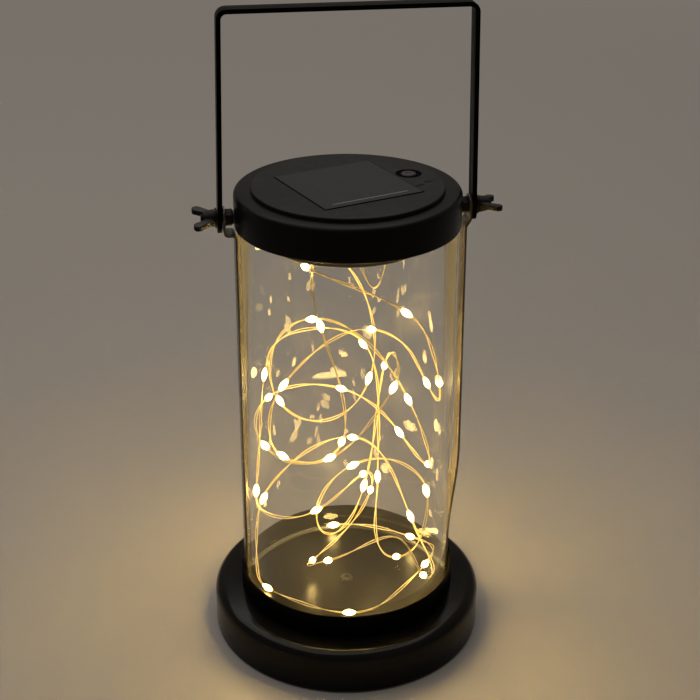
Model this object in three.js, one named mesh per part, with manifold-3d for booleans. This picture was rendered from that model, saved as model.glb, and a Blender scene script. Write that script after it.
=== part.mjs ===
// Solar jar lantern: a glass cylinder stands in a flanged steel foot and carries a lid with a solar module.
// Two flat straps run from the foot to the pivot studs, where wing nuts clamp a swinging bail.
// A wire light string hangs from the module and fills the jar.
// Millimetres, +Z up, the pivot line along X, the origin on the ground under the middle of the foot.

import * as THREE from 'three';
import { mergeVertices } from 'three/addons/utils/BufferGeometryUtils.js';
import Module from 'manifold-3d';

const wasm = await Module();
wasm.setup();

// Clearances
const runningGap = 0.3;
const overlapForJoin = 0.4;
const cutPast = 1;

// Glass jar, open at both ends, between two soft seats
const glassRadius = 50;
const glassWall = 2.5;
const glassHeight = 202;
const glassEdge = 0.5;
const seatThickness = 1.5;
const seatWidth = 3.5;

// Foot, cup and what is under them
const footRadius = 66.5;
const footHeight = 22;
const footEdgeRadius = 5;
const footSheet = 1.2;
const footRimLift = 0.8;
const cupSheet = 1.2;
const cupRise = 12;
const bottomPlateThickness = 1.2;
const padRadius = 6;
const padThickness = 1.3;
const padCircle = 52;
const padCount = 4;
const rivetShank = 1.6;
const rivetHead = 3.2;
const rivetHeadThickness = 1;
const rivetTail = 2.6;
const rivetTailLength = 1.8;
const rivetDimple = 1.1;

// Lid
const lidSheet = 0.8;
const lidSkirt = 15.5;
const lidEdgeRadius = 2;
const lidFit = 0.4;

// Solar module in the lid
const discRadius = 43.5;
const discRise = 1.8;
const discChamfer = 0.5;
const moduleRadius = 38.8;
const moduleWall = 1.5;
const moduleDepth = 21;
const topPlate = 3.8;
const coverThickness = 1.6;
const moduleTurn = THREE.MathUtils.degToRad(19.6);
const panelSide = 49.4;
const panelThickness = 2.1;
const panelRecess = 1.8;

// Push button and the switch under it
const buttonRadius = 3.6;
const buttonProud = 0.4;
const buttonCrown = 0.3;
const buttonTravel = 1.2;
const buttonCollar = 4.8;
const buttonCollarThickness = 1.2;
const stemRadius = 1.5;
const stemInSwitch = 3;
const ringRecessRadius = 6;
const ringRecessDepth = 1.6;
const ringThickness = 1.2;
const switchSide = 7;
const switchHeight = 7;
const boardThickness = 1.6;
const boardLift = 3.5;
const boardLength = 22;
const boardWidth = 18;
const boardCornerGap = 0.87;
const boardPostRadius = 1.8;

// Rechargeable cell and its holder
const cellRadius = 7.1;
const cellBody = 49;
const cellTipRadius = 2.75;
const cellTip = 1.5;
const cellOffset = 5;
const holderWall = 1.5;
const holderHeight = 10;
const springLength = 4.2;
const springRadius = 5;
const contactThickness = 0.4;
const contactWidth = 10;

// Screws that hold the module's cover, and the grommet of the light string
const coverScrewInset = 1.3;
const coverScrewTurns = [45, 180, 315];
const coverScrewShank = 1;
const coverScrewHead = 2.6;
const coverScrewHeadThickness = 1.6;
const coverScrewLength = 8;
const bossRadius = 3;
const grommetX = 14;
const grommetY = -14;
const grommetBody = 2.5;
const grommetFlange = 4.2;
const grommetTip = 1.6;
const grommetNose = 4;
const grommetLip = 1.2;

// Pivot stack on each side: stud, spacer nut, strap ear, bail leg, washer, wing nut
const pivotDrop = 10.6;
const studRadius = 1.9;
const studFlangeRadius = 3.2;
const studFlange = 0.6;
const nutAcrossFlats = 7;
const nutThickness = 3.2;
const washerRadius = 4.5;
const washerThickness = 0.8;
const hubBase = 4;
const hubTip = 3.1;
const hubLength = 5;
const studBeyondHub = 1;
const wingThickness = 2.4;
const wingHalfWidth = 2.2;
const wingReach = 9.7;
const wingHeight = 9.5;
const wingRootAlong = 2.4;
const wingRootOut = 1.6;
const wingTurn = { right: -3, left: -9 };

// Straps up the outside of the glass
const strapWidth = 10;
const strapThickness = 1;
const strapBend = 1.6;
const strapBendSteps = 4;
const shelfBelowLid = 2.1;
const bowBend = 200;
const bowFootHeight = 50;
const bowCrestHeight = 86;
const bowCrest = 4.2;
const bowTop = 2.9;
const jogRise = 3.4;

// Bail
const bailWidth = 8;
const bailThickness = 2;
const bailRise = 92.2;
const bailHalfTop = 56.2;
const bailBend = 3.5;
const bailBendSteps = 7;
const bailBelowPivot = 7;

// Light string: one wire in tilted loops whose middle wanders and sinks, with a lamp bead every few steps
const wireRadius = 0.45;
const wireSides = 6;
const stringLoops = 13;
const stepsPerLoop = 24;
const beadRadius = 1.5;
const beadHalfLength = 2.1;
const beadHalfCore = 1.1;
const stepsPerBead = 6;
const firstBead = 9;
const beadCount = 51;
const leastBeadStep = 5;
const loopSize = { mean: 38.18, swing: 9.85, turns: 5.81, phase: 2.57 };
const drift = { reach: 21.49, xTurns: 4.45, xPhase: 3.99, yTurns: 3.25, yPhase: 5.06 };
const sink = { from: 182.67, to: 32.72, power: 0.89, swing: 24.43, turns: 5.19, phase: 4.63 };
const tilt = { mean: 0.92, swing: 0.63, turns: 3.01, phase: 2.78 };
const heading = { turns: -4.33, phase: 4.08 };
const floorLoop = { radius: 49.26, lift: 11.7, share: 0.16 };
const stringStart = 0.8;
const stringDrop = 40;
const wallEase = 8.6;
const floorEase = 7;
const topEase = 12;
const belowGrommet = 5.1;
const wallGap = 1.4;
const floorGap = 0.05;

// Facets round the large, middle and small turned pieces
const largeSteps = 48;
const middleSteps = 24;
const smallSteps = 16;

// Heights that follow from the stack of foot, seats, glass and lid
const cupFloor = footHeight + cupSheet;
const cupRim = footHeight + cupRise;
const glassBottom = cupFloor + seatThickness;
const glassTop = glassBottom + glassHeight;
const lidUnder = glassTop + seatThickness;
const lidTop = lidUnder + lidSheet;
const lidBottom = lidTop - lidSkirt;
const discTop = lidTop + discRise;
const plateUnder = discTop - topPlate;
const moduleBottom = lidTop - moduleDepth;
const coverUnder = moduleBottom - coverThickness;
const boardUnder = moduleBottom + boardLift;
const boardTop = boardUnder + boardThickness;
const pivotHeight = lidTop - pivotDrop;

// Distances from the middle that follow from the fits
const glassBore = glassRadius - glassWall;
const lidBore = glassRadius + lidFit;
const lidRadius = lidBore + lidSheet;
const strapInner = glassRadius + runningGap;
const strapOuter = strapInner + strapThickness;
const cupBore = Math.hypot(strapOuter, strapWidth / 2) + runningGap;
const cupRadius = cupBore + cupSheet;
const moduleBore = moduleRadius - moduleWall;
const coverScrewCircle = moduleBore - bossRadius - coverScrewInset;
const switchHalf = switchSide / 2;
const boardEnd = Math.sqrt((moduleBore - boardCornerGap) ** 2 - (boardWidth / 2) ** 2);
const boardStart = boardEnd - boardLength;
const buttonOffset = boardEnd - runningGap - switchHalf;
const studStart = lidRadius + runningGap;
const nutStart = studStart + studFlange;
const earStart = nutStart + nutThickness;
const legStart = earStart + strapThickness + runningGap;
const washerStart = legStart + bailThickness + runningGap;
const wingStart = washerStart + washerThickness + runningGap;
const studEnd = wingStart + hubLength + studBeyondHub;
const pivotHole = studRadius + runningGap;

// Finishes
function finish(color, roughness, metalness = 0) {
  return new THREE.MeshStandardMaterial({ color, roughness, metalness });
}
const blackPaint = () => finish(0x0d0d0c, 0.42, 0.3);
const blackPlastic = () => finish(0x1a1a18, 0.55);
const softRubber = () => finish(0x0b0b0b, 0.85);
const clearGlass = () => finish(0xdfe6e4, 0.05);
const cellBlue = () => finish(0x10131a, 0.25);
const zincPlate = () => finish(0x9a9a96, 0.35, 0.9);
const copperWire = () => finish(0xc98f3c, 0.35, 0.8);

// A mesh made ready for cutting: shared corners merged and empty triangles dropped
function closed(geometry) {
  geometry.deleteAttribute('normal');
  geometry.deleteAttribute('uv');
  const merged = mergeVertices(geometry, 1e-5);
  const corners = merged.index.array;
  const kept = [];
  for (let i = 0; i < corners.length; i += 3) {
    const [a, b, c] = corners.slice(i, i + 3);
    if (a !== b && b !== c && c !== a) {
      kept.push(a, b, c);
    }
  }
  merged.setIndex(new THREE.BufferAttribute(new Uint32Array(kept), 1));
  return merged;
}

function toSolid(geometry) {
  const vertProperties = geometry.attributes.position.array;
  const triVerts = geometry.index.array;
  return new wasm.Manifold(new wasm.Mesh({ numProp: 3, vertProperties, triVerts }));
}

function toGeometry(solid) {
  const mesh = solid.getMesh();
  const geometry = new THREE.BufferGeometry();
  geometry.setAttribute('position', new THREE.BufferAttribute(new Float32Array(mesh.vertProperties), 3));
  geometry.setIndex(new THREE.BufferAttribute(new Uint32Array(mesh.triVerts), 1));
  return geometry;
}

function cut(base, ...tools) {
  return toGeometry(tools.reduce((solid, tool) => solid.subtract(toSolid(tool)), toSolid(base)));
}

function join(base, ...others) {
  return toGeometry(others.reduce((solid, other) => solid.add(toSolid(other)), toSolid(base)));
}

function common(base, other) {
  return toGeometry(toSolid(base).intersect(toSolid(other)));
}

// A turned solid about Z, from [radius, height] points that run anticlockwise round the section
function turned(outline, steps) {
  const points = outline.map(([r, z]) => new THREE.Vector2(r, z));
  const lathe = new THREE.LatheGeometry(points, steps);
  lathe.rotateX(Math.PI / 2);
  return closed(lathe);
}

function ring(inner, outer, low, high, steps) {
  return turned([[inner, low], [outer, low], [outer, high], [inner, high], [inner, low]], steps);
}

function rod(radius, low, high, steps = smallSteps) {
  return turned([[0, low], [radius, low], [radius, high], [0, high]], steps);
}

function block(x, y, z) {
  const width = x[1] - x[0];
  const depth = y[1] - y[0];
  const height = z[1] - z[0];
  const box = new THREE.BoxGeometry(width, depth, height);
  box.translate(x[0] + width / 2, y[0] + depth / 2, z[0] + height / 2);
  return closed(box);
}

// Points of a quarter round about a middle, from one angle to another in degrees
function quarter(r, z, radius, from, to, steps = 4) {
  const points = [];
  for (let i = 0; i <= steps; i += 1) {
    const angle = THREE.MathUtils.degToRad(from + ((to - from) * i) / steps);
    points.push([r + radius * Math.cos(angle), z + radius * Math.sin(angle)]);
  }
  return points;
}

// A turned or extruded piece laid along X, at a height
function alongX(geometry, height) {
  geometry.rotateY(Math.PI / 2);
  geometry.translate(0, 0, height);
  return geometry;
}

function pivotBore(from, to) {
  return alongX(rod(pivotHole, from, to), pivotHeight);
}

// The middle line of a bent strip, with its inner corners rounded
function bentLine(corners, bends, steps) {
  const line = [corners[0]];
  for (let i = 1; i < corners.length - 1; i += 1) {
    const back = corners[i - 1].clone().sub(corners[i]).normalize();
    const ahead = corners[i + 1].clone().sub(corners[i]).normalize();
    const half = back.angleTo(ahead) / 2;
    const bend = bends[i];
    const reach = bend / Math.tan(half);
    const middle = back.clone().add(ahead).normalize().multiplyScalar(bend / Math.sin(half)).add(corners[i]);
    const from = corners[i].clone().addScaledVector(back, reach).sub(middle);
    const to = corners[i].clone().addScaledVector(ahead, reach).sub(middle);
    const sweep = from.angleTo(to) * Math.sign(from.cross(to));
    for (let k = 0; k <= steps; k += 1) {
      const turn = (sweep * k) / steps;
      line.push(from.clone().rotateAround(new THREE.Vector2(), turn).add(middle));
    }
  }
  line.push(corners[corners.length - 1]);
  return line;
}

function offsetLine(line, offset) {
  return line.map((point, i) => {
    const before = line[Math.max(i - 1, 0)];
    const after = line[Math.min(i + 1, line.length - 1)];
    const inward = point.clone().sub(before).normalize();
    const outward = after.clone().sub(point).normalize();
    const along = inward.clone().add(outward).normalize();
    const stretch = Math.max(along.dot(outward), along.dot(inward));
    return new THREE.Vector2(-along.y, along.x).multiplyScalar(offset / stretch).add(point);
  });
}

// A flat bar bent in the XZ plane, with its width along Y; a corner may name its own bend
function bentBar(corners, usualBend, thickness, width, steps) {
  const bends = corners.map(([, , bend]) => bend ?? usualBend);
  const line = bentLine(corners.map(([x, z]) => new THREE.Vector2(x, z)), bends, steps);
  const far = offsetLine(line, thickness / 2);
  const near = offsetLine(line, -thickness / 2).reverse();
  const section = new THREE.Shape([...far, ...near]);
  const bar = new THREE.ExtrudeGeometry(section, { depth: width, bevelEnabled: false });
  bar.translate(0, 0, -width / 2);
  bar.rotateX(Math.PI / 2);
  return closed(bar);
}

// A slab across X whose outline in YZ has straight sides and one round end
function roundEndedSlab(halfWidth, roundHeight, squareHeight, from, to) {
  const up = squareHeight > roundHeight;
  const start = up ? Math.PI : 0;
  const outline = new THREE.Shape();
  outline.moveTo(up ? halfWidth : -halfWidth, squareHeight);
  outline.lineTo(up ? -halfWidth : halfWidth, squareHeight);
  outline.absarc(0, roundHeight, halfWidth, start, start + Math.PI, false);
  const slab = new THREE.ExtrudeGeometry(outline, {
    depth: to - from,
    bevelEnabled: false,
    curveSegments: 10,
  });
  const axes = new THREE.Matrix4().makeBasis(
    new THREE.Vector3(0, 1, 0),
    new THREE.Vector3(0, 0, 1),
    new THREE.Vector3(1, 0, 0),
  );
  slab.applyMatrix4(axes);
  slab.translate(from, 0, 0);
  return closed(slab);
}

const lantern = new THREE.Group();

function place(name, geometry, material, group = lantern) {
  const mesh = new THREE.Mesh(geometry, material);
  mesh.name = name;
  group.add(mesh);
  return mesh;
}

// Foot: a pressed steel shell with a rounded shoulder, open below
function footShell() {
  const shoulder = footHeight - footEdgeRadius;
  const innerEdge = footEdgeRadius - footSheet;
  const innerRadius = footRadius - footSheet;
  const rivetHole = rivetShank + runningGap;
  return turned([
    [innerRadius, footRimLift],
    [footRadius, footRimLift],
    ...quarter(footRadius - footEdgeRadius, shoulder, footEdgeRadius, 0, 90),
    [rivetHole, footHeight],
    [rivetHole, footHeight - footSheet],
    ...quarter(innerRadius - innerEdge, shoulder, innerEdge, 90, 0, 2),
    [innerRadius, footRimLift],
  ], largeSteps);
}
place('base_foot', footShell(), blackPaint());

// Cup: the collar and floor that hold the lower end of the glass
function cup() {
  const rivetHole = rivetShank + runningGap;
  return turned([
    [rivetHole, footHeight],
    [cupRadius, footHeight],
    [cupRadius, cupRim],
    [cupBore, cupRim],
    [cupBore, cupFloor],
    [rivetHole, cupFloor],
    [rivetHole, footHeight],
  ], largeSteps);
}
place('base_cup', cup(), blackPaint());

// Rivet through the cup's floor and the foot, with a dimple in its head
function rivet() {
  const footUnder = footHeight - footSheet;
  return turned([
    [0, footUnder - rivetTailLength],
    [rivetTail, footUnder - rivetTailLength],
    [rivetTail, footUnder],
    [rivetShank, footUnder],
    [rivetShank, cupFloor],
    [rivetHead, cupFloor],
    [rivetHead, cupFloor + rivetHeadThickness / 2],
    [rivetHead - rivetHeadThickness, cupFloor + rivetHeadThickness],
    [rivetDimple, cupFloor + rivetHeadThickness],
    [rivetDimple, cupFloor + runningGap],
    [0, cupFloor + runningGap],
  ], smallSteps);
}
place('base_rivet', rivet(), zincPlate());

// Bottom plate pressed into the foot, with the pads that it stands on
const plateLow = padThickness;
const plateRadius = footRadius - footSheet - runningGap;
const plateHigh = plateLow + bottomPlateThickness;
place('base_bottom_plate', rod(plateRadius, plateLow, plateHigh, largeSteps), blackPaint());
for (let i = 0; i < padCount; i += 1) {
  const angle = (Math.PI * (2 * i + 1)) / padCount;
  const pad = place(`foot_pad_${i + 1}`, rod(padRadius, 0, padThickness), softRubber());
  pad.position.set(padCircle * Math.cos(angle), padCircle * Math.sin(angle), 0);
}

// Glass and the soft seats at its two ends
const seatBore = glassRadius - seatWidth;
place('glass_seat', ring(seatBore, glassRadius, cupFloor, glassBottom, largeSteps), softRubber());
place('lid_gasket', ring(seatBore, lidRadius - lidEdgeRadius, glassTop, lidUnder, largeSteps), softRubber());
place('glass_cylinder', turned([
  [glassBore + glassEdge, glassBottom],
  [glassRadius - glassEdge, glassBottom],
  [glassRadius, glassBottom + glassEdge],
  [glassRadius, glassTop - glassEdge],
  [glassRadius - glassEdge, glassTop],
  [glassBore + glassEdge, glassTop],
  [glassBore, glassTop - glassEdge],
  [glassBore, glassBottom + glassEdge],
  [glassBore + glassEdge, glassBottom],
], largeSteps), clearGlass());

// Lid: a pressed steel cap with a round hole for the module
const lidHole = moduleRadius + runningGap;
place('lid_cap', turned([
  [lidBore, lidBottom],
  [lidRadius, lidBottom],
  ...quarter(lidRadius - lidEdgeRadius, lidTop - lidEdgeRadius, lidEdgeRadius, 0, 90),
  [lidHole, lidTop],
  [lidHole, lidUnder],
  ...quarter(lidRadius - lidEdgeRadius, lidTop - lidEdgeRadius, lidEdgeRadius - lidSheet, 90, 0, 2),
  [lidBore, lidBottom],
], largeSteps), blackPaint());

// The solar module is turned in the lid, with its button in line with the middle of the panel's edge
const module = new THREE.Group();
module.rotation.z = moduleTurn;
lantern.add(module);
const screwPlaces = coverScrewTurns.map((degrees) => {
  const angle = THREE.MathUtils.degToRad(degrees);
  return [coverScrewCircle * Math.cos(angle), coverScrewCircle * Math.sin(angle)];
});
const pilotHole = coverScrewShank + runningGap;

function moved(geometry, [x, y]) {
  geometry.translate(x, y, 0);
  return geometry;
}

function housing() {
  const shell = turned([
    [moduleBore, moduleBottom],
    [moduleRadius, moduleBottom],
    [moduleRadius, lidTop],
    [discRadius, lidTop],
    [discRadius, discTop - discChamfer],
    [discRadius - discChamfer, discTop],
    [0, discTop],
    [0, plateUnder],
    [moduleBore, plateUnder],
    [moduleBore, moduleBottom],
  ], largeSteps);
  const bosses = screwPlaces.map((at) => (
    moved(rod(bossRadius, moduleBottom, plateUnder + overlapForJoin), at)
  ));
  const pilots = screwPlaces.map((at) => (
    moved(rod(pilotHole, moduleBottom - cutPast, moduleBottom + coverScrewLength + runningGap), at)
  ));
  const half = panelSide / 2 + runningGap;
  const recess = block([-half, half], [-half, half], [discTop - panelRecess, discTop + cutPast]);
  const ringRecess = rod(ringRecessRadius, discTop - ringRecessDepth, discTop + cutPast, middleSteps);
  const buttonHole = rod(buttonRadius + runningGap, plateUnder - cutPast, discTop, middleSteps);
  const middle = [buttonOffset, 0];
  return cut(join(shell, ...bosses), ...pilots, recess, moved(ringRecess, middle), moved(buttonHole, middle));
}
place('module_housing', housing(), blackPlastic(), module);

const panelLow = discTop - panelRecess;
const panelHalf = panelSide / 2;
place('solar_panel', block(
  [-panelHalf, panelHalf],
  [-panelHalf, panelHalf],
  [panelLow, panelLow + panelThickness],
), cellBlue(), module);

// Button: a cap with a collar under the plate and a stem into the switch
const ringLow = discTop - ringRecessDepth;
const switchTop = boardTop + switchHeight;
const stemLow = switchTop - stemInSwitch;
const collarTop = plateUnder - runningGap;
const collarLow = collarTop - buttonCollarThickness;
const capTop = discTop + buttonProud;
const buttonRing = place('button_ring', ring(
  buttonRadius + runningGap,
  ringRecessRadius - runningGap,
  ringLow,
  ringLow + ringThickness,
  middleSteps,
), softRubber(), module);
const pushButton = place('push_button', turned([
  [0, stemLow],
  [stemRadius, stemLow],
  [stemRadius, collarLow],
  [buttonCollar, collarLow],
  [buttonCollar, collarTop],
  [buttonRadius, collarTop],
  [buttonRadius, capTop - buttonCrown],
  [buttonRadius - buttonCrown, capTop],
  [0, capTop],
], middleSteps), blackPlastic(), module);

// Switch on its circuit board
const switchBore = rod(stemRadius + runningGap, stemLow - buttonTravel - runningGap, switchTop + cutPast);
const switchBody = place('switch_body', cut(
  block([-switchHalf, switchHalf], [-switchHalf, switchHalf], [boardTop, switchTop]),
  switchBore,
), blackPlastic(), module);
for (const piece of [buttonRing, pushButton, switchBody]) {
  piece.position.x = buttonOffset;
}
place('circuit_board', block(
  [boardStart, boardEnd],
  [-boardWidth / 2, boardWidth / 2],
  [boardUnder, boardTop],
), finish(0x1f5a33, 0.6), module);

// Cell in its holder, between a spring contact and a plate contact
const cellEnd = cellBody + cellTip;
const pocketLength = springLength + cellEnd + 2 * contactThickness + 4 * runningGap;
const pocketStart = -pocketLength / 2;
const springStart = pocketStart + runningGap;
const cellStart = springStart + contactThickness + springLength + runningGap;
const plateStart = cellStart + cellEnd + runningGap;
const pocketHalf = cellRadius + runningGap;
const cellHeight = moduleBottom + holderWall + runningGap + cellRadius;

function holder() {
  const outer = block(
    [-pocketHalf - holderWall, pocketHalf + holderWall],
    [pocketStart - holderWall, -pocketStart + holderWall],
    [moduleBottom, moduleBottom + holderHeight],
  );
  const pocket = block(
    [-pocketHalf, pocketHalf],
    [pocketStart, -pocketStart],
    [moduleBottom + holderWall, moduleBottom + holderHeight + cutPast],
  );
  return cut(outer, pocket);
}

// A turned piece laid along Y at the height of the cell's axis
function alongCell(outline, steps) {
  const piece = turned(outline, steps);
  piece.rotateX(-Math.PI / 2);
  piece.translate(0, 0, cellHeight);
  return piece;
}

const cellGroup = new THREE.Group();
cellGroup.position.x = -cellOffset;
module.add(cellGroup);
place('battery_holder', holder(), blackPlastic(), cellGroup);
place('battery_cell', alongCell([
  [0, cellStart],
  [cellRadius, cellStart],
  [cellRadius, cellStart + cellBody],
  [cellTipRadius, cellStart + cellBody],
  [cellTipRadius, cellStart + cellEnd],
  [0, cellStart + cellEnd],
], middleSteps), finish(0x3c7a46, 0.4), cellGroup);
place('contact_spring', alongCell([
  [0, springStart],
  [springRadius, springStart],
  [springRadius, springStart + contactThickness],
  [springRadius / 2, springStart + contactThickness + springLength],
  [0, springStart + contactThickness + springLength],
], smallSteps), zincPlate(), cellGroup);
place('contact_plate', block(
  [-contactWidth / 2, contactWidth / 2],
  [plateStart, plateStart + contactThickness],
  [moduleBottom + holderWall + runningGap, moduleBottom + holderHeight],
), zincPlate(), cellGroup);

// Cover of the module, with posts under the board
function cover() {
  const disc = rod(moduleRadius, coverUnder, moduleBottom, largeSteps);
  const posts = [];
  for (const x of [boardStart + boardPostRadius, boardEnd - switchSide]) {
    for (const y of [-1, 1]) {
      const at = [x, y * (boardWidth / 2 - boardPostRadius)];
      posts.push(moved(rod(boardPostRadius, moduleBottom - overlapForJoin, boardUnder), at));
    }
  }
  const holes = screwPlaces.map((at) => (
    moved(rod(pilotHole, coverUnder - cutPast, moduleBottom + cutPast), at)
  ));
  const grommetBore = rod(grommetBody + runningGap, coverUnder - cutPast, moduleBottom + cutPast);
  const grommetHole = moved(grommetBore, [grommetX, grommetY]);
  return cut(join(disc, ...posts), ...holes, grommetHole);
}
place('module_cover', cover(), blackPlastic(), module);
screwPlaces.forEach(([x, y], i) => {
  const screw = place(`cover_screw_${i + 1}`, turned([
    [0, coverUnder - coverScrewHeadThickness],
    [coverScrewHead / 2, coverUnder - coverScrewHeadThickness],
    [coverScrewHead, coverUnder - coverScrewHeadThickness / 2],
    [coverScrewHead, coverUnder],
    [coverScrewShank, coverUnder],
    [coverScrewShank, moduleBottom + coverScrewLength],
    [0, moduleBottom + coverScrewLength],
  ], smallSteps), zincPlate(), module);
  screw.position.set(x, y, 0);
});

// Grommet that lets the light string out of the cover
const grommetLow = coverUnder - grommetNose;
const grommet = place('lead_grommet', turned([
  [0, grommetLow],
  [grommetTip, grommetLow],
  [grommetFlange, coverUnder - grommetLip],
  [grommetFlange, coverUnder],
  [grommetBody, coverUnder],
  [grommetBody, moduleBottom],
  [grommetFlange - runningGap, moduleBottom],
  [grommetFlange - runningGap, moduleBottom + grommetLip],
  [0, moduleBottom + grommetLip],
], smallSteps), softRubber(), module);
grommet.position.set(grommetX, grommetY, 0);

// Pivot stacks: everything is drawn on the right and turned half round for the left
function stud() {
  return alongX(turned([
    [0, studStart],
    [studFlangeRadius, studStart],
    [studFlangeRadius, nutStart],
    [studRadius, nutStart],
    [studRadius, studEnd],
    [0, studEnd],
  ], smallSteps), pivotHeight);
}

function spacerNut() {
  const hexagon = new THREE.Shape();
  for (let i = 0; i < 6; i += 1) {
    const corner = new THREE.Vector2(nutAcrossFlats / Math.sqrt(3), 0);
    corner.rotateAround(new THREE.Vector2(), (Math.PI * i) / 3);
    if (i === 0) {
      hexagon.moveTo(corner.x, corner.y);
    } else {
      hexagon.lineTo(corner.x, corner.y);
    }
  }
  const nut = new THREE.ExtrudeGeometry(hexagon, { depth: nutThickness, bevelEnabled: false });
  nut.translate(0, 0, nutStart);
  return cut(alongX(closed(nut), pivotHeight), pivotBore(nutStart - cutPast, earStart + cutPast));
}

// Wing nut: a tapered hub with two round-ended ears that lean out and away
function wingNut() {
  const hub = turned([
    [pivotHole, wingStart],
    [hubBase, wingStart],
    [hubTip, wingStart + hubLength],
    [pivotHole, wingStart + hubLength],
    [pivotHole, wingStart],
  ], middleSteps);
  const root = new THREE.Vector2(pivotHole + wingRootOut, wingStart + wingRootAlong);
  const tip = new THREE.Vector2(wingReach - wingHalfWidth, wingStart + wingHeight - wingHalfWidth);
  const lean = tip.clone().sub(root).angle();
  const ears = [-1, 1].map((side) => {
    const outline = new THREE.Shape();
    outline.absarc(tip.x, tip.y, wingHalfWidth, lean - Math.PI / 2, lean + Math.PI / 2, false);
    outline.absarc(root.x, root.y, wingRootOut, lean + Math.PI / 2, lean + (Math.PI * 3) / 2, false);
    const ear = new THREE.ExtrudeGeometry(outline, {
      depth: wingThickness,
      bevelEnabled: false,
      curveSegments: 8,
    });
    ear.translate(0, 0, -wingThickness / 2);
    ear.rotateX(Math.PI / 2);
    if (side < 0) {
      ear.rotateZ(Math.PI);
    }
    return closed(ear);
  });
  const nut = join(hub, ...ears);
  nut.rotateY(Math.PI / 2);
  nut.rotateX(Math.PI / 2);
  return nut;
}

// Straps: straight against the glass on the left, bowed off it on the right
const shelfMiddle = lidBottom - shelfBelowLid - strapThickness / 2;
const strapMiddle = strapInner + strapThickness / 2;
const earMiddle = earStart + strapThickness / 2;
const earTop = pivotHeight + strapWidth / 2;
const strapLow = cupFloor + runningGap;

function strap(corners) {
  const bar = bentBar(corners, strapBend, strapThickness, strapWidth, strapBendSteps);
  const slab = roundEndedSlab(strapWidth / 2, pivotHeight, strapLow - cutPast, glassBore, legStart);
  return cut(common(bar, slab), pivotBore(nutStart, legStart));
}
const straightStrap = [
  [strapMiddle, strapLow],
  [strapMiddle, shelfMiddle],
  [earMiddle, shelfMiddle],
  [earMiddle, earTop],
];
const bowedStrap = [
  [strapMiddle, strapLow],
  [strapMiddle, bowFootHeight, bowBend],
  [strapMiddle + bowCrest, bowCrestHeight, bowBend],
  [strapMiddle + bowTop, shelfMiddle - jogRise / 2],
  [earMiddle, shelfMiddle + jogRise / 2],
  [earMiddle, earTop],
];

for (const side of ['right', 'left']) {
  const stack = new THREE.Group();
  stack.rotation.z = side === 'left' ? Math.PI : 0;
  lantern.add(stack);
  place(`pivot_stud_${side}`, stud(), zincPlate(), stack);
  place(`spacer_nut_${side}`, spacerNut(), blackPaint(), stack);
  place(`strap_${side}`, strap(side === 'left' ? straightStrap : bowedStrap), blackPaint(), stack);
  const washer = ring(pivotHole, washerRadius, washerStart, washerStart + washerThickness, smallSteps);
  place(`washer_${side}`, alongX(washer, pivotHeight), blackPaint(), stack);
  const nut = place(`wing_nut_${side}`, wingNut(), blackPaint(), stack);
  nut.position.z = pivotHeight;
  nut.rotation.x = THREE.MathUtils.degToRad(wingTurn[side]);
}

// Bail: a flat bar bent to a square bow whose legs spread towards the pivots
const bailTop = pivotHeight + bailRise;
const legMiddle = legStart + bailThickness / 2;
const bailHalf = bailHalfTop - bailThickness / 2;
const legSlope = (legMiddle - bailHalf) / bailRise;
const legEnd = legMiddle + legSlope * bailBelowPivot;

function bail() {
  const low = pivotHeight - bailBelowPivot;
  const bar = bentBar([
    [-legEnd, low],
    [-bailHalf, bailTop - bailThickness / 2],
    [bailHalf, bailTop - bailThickness / 2],
    [legEnd, low],
  ], bailBend, bailThickness, bailWidth, bailBendSteps);
  const reach = legEnd + bailThickness;
  const slab = roundEndedSlab(bailWidth / 2, low + bailWidth / 2, bailTop + cutPast, -reach, reach);
  return cut(common(bar, slab), pivotBore(-reach, reach));
}
place('bail_handle', bail(), blackPaint());

// Light string. The centre line is a formula of the share of its way, from 0 at the grommet to 1 at its end
const stringSteps = firstBead + (beadCount - 1) * stepsPerBead + 1;
const wallLimit = glassBore - beadRadius - wallGap;
const floorLimit = cupFloor + beadRadius + floorGap;
const topLimit = grommetLow - belowGrommet - runningGap;
const leadTop = new THREE.Vector3(grommetX, grommetY, grommetLow - runningGap);
leadTop.applyAxisAngle(new THREE.Vector3(0, 0, 1), moduleTurn);

function wave({ turns, phase }, share) {
  return Math.sin(2 * Math.PI * turns * share + phase);
}

// Values past the limit's ease band are bent back, so that they near the limit and never pass it
function easedUnder(value, limit, band) {
  const start = limit - band;
  return value < start ? value : start + band * Math.tanh((value - start) / band);
}

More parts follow.
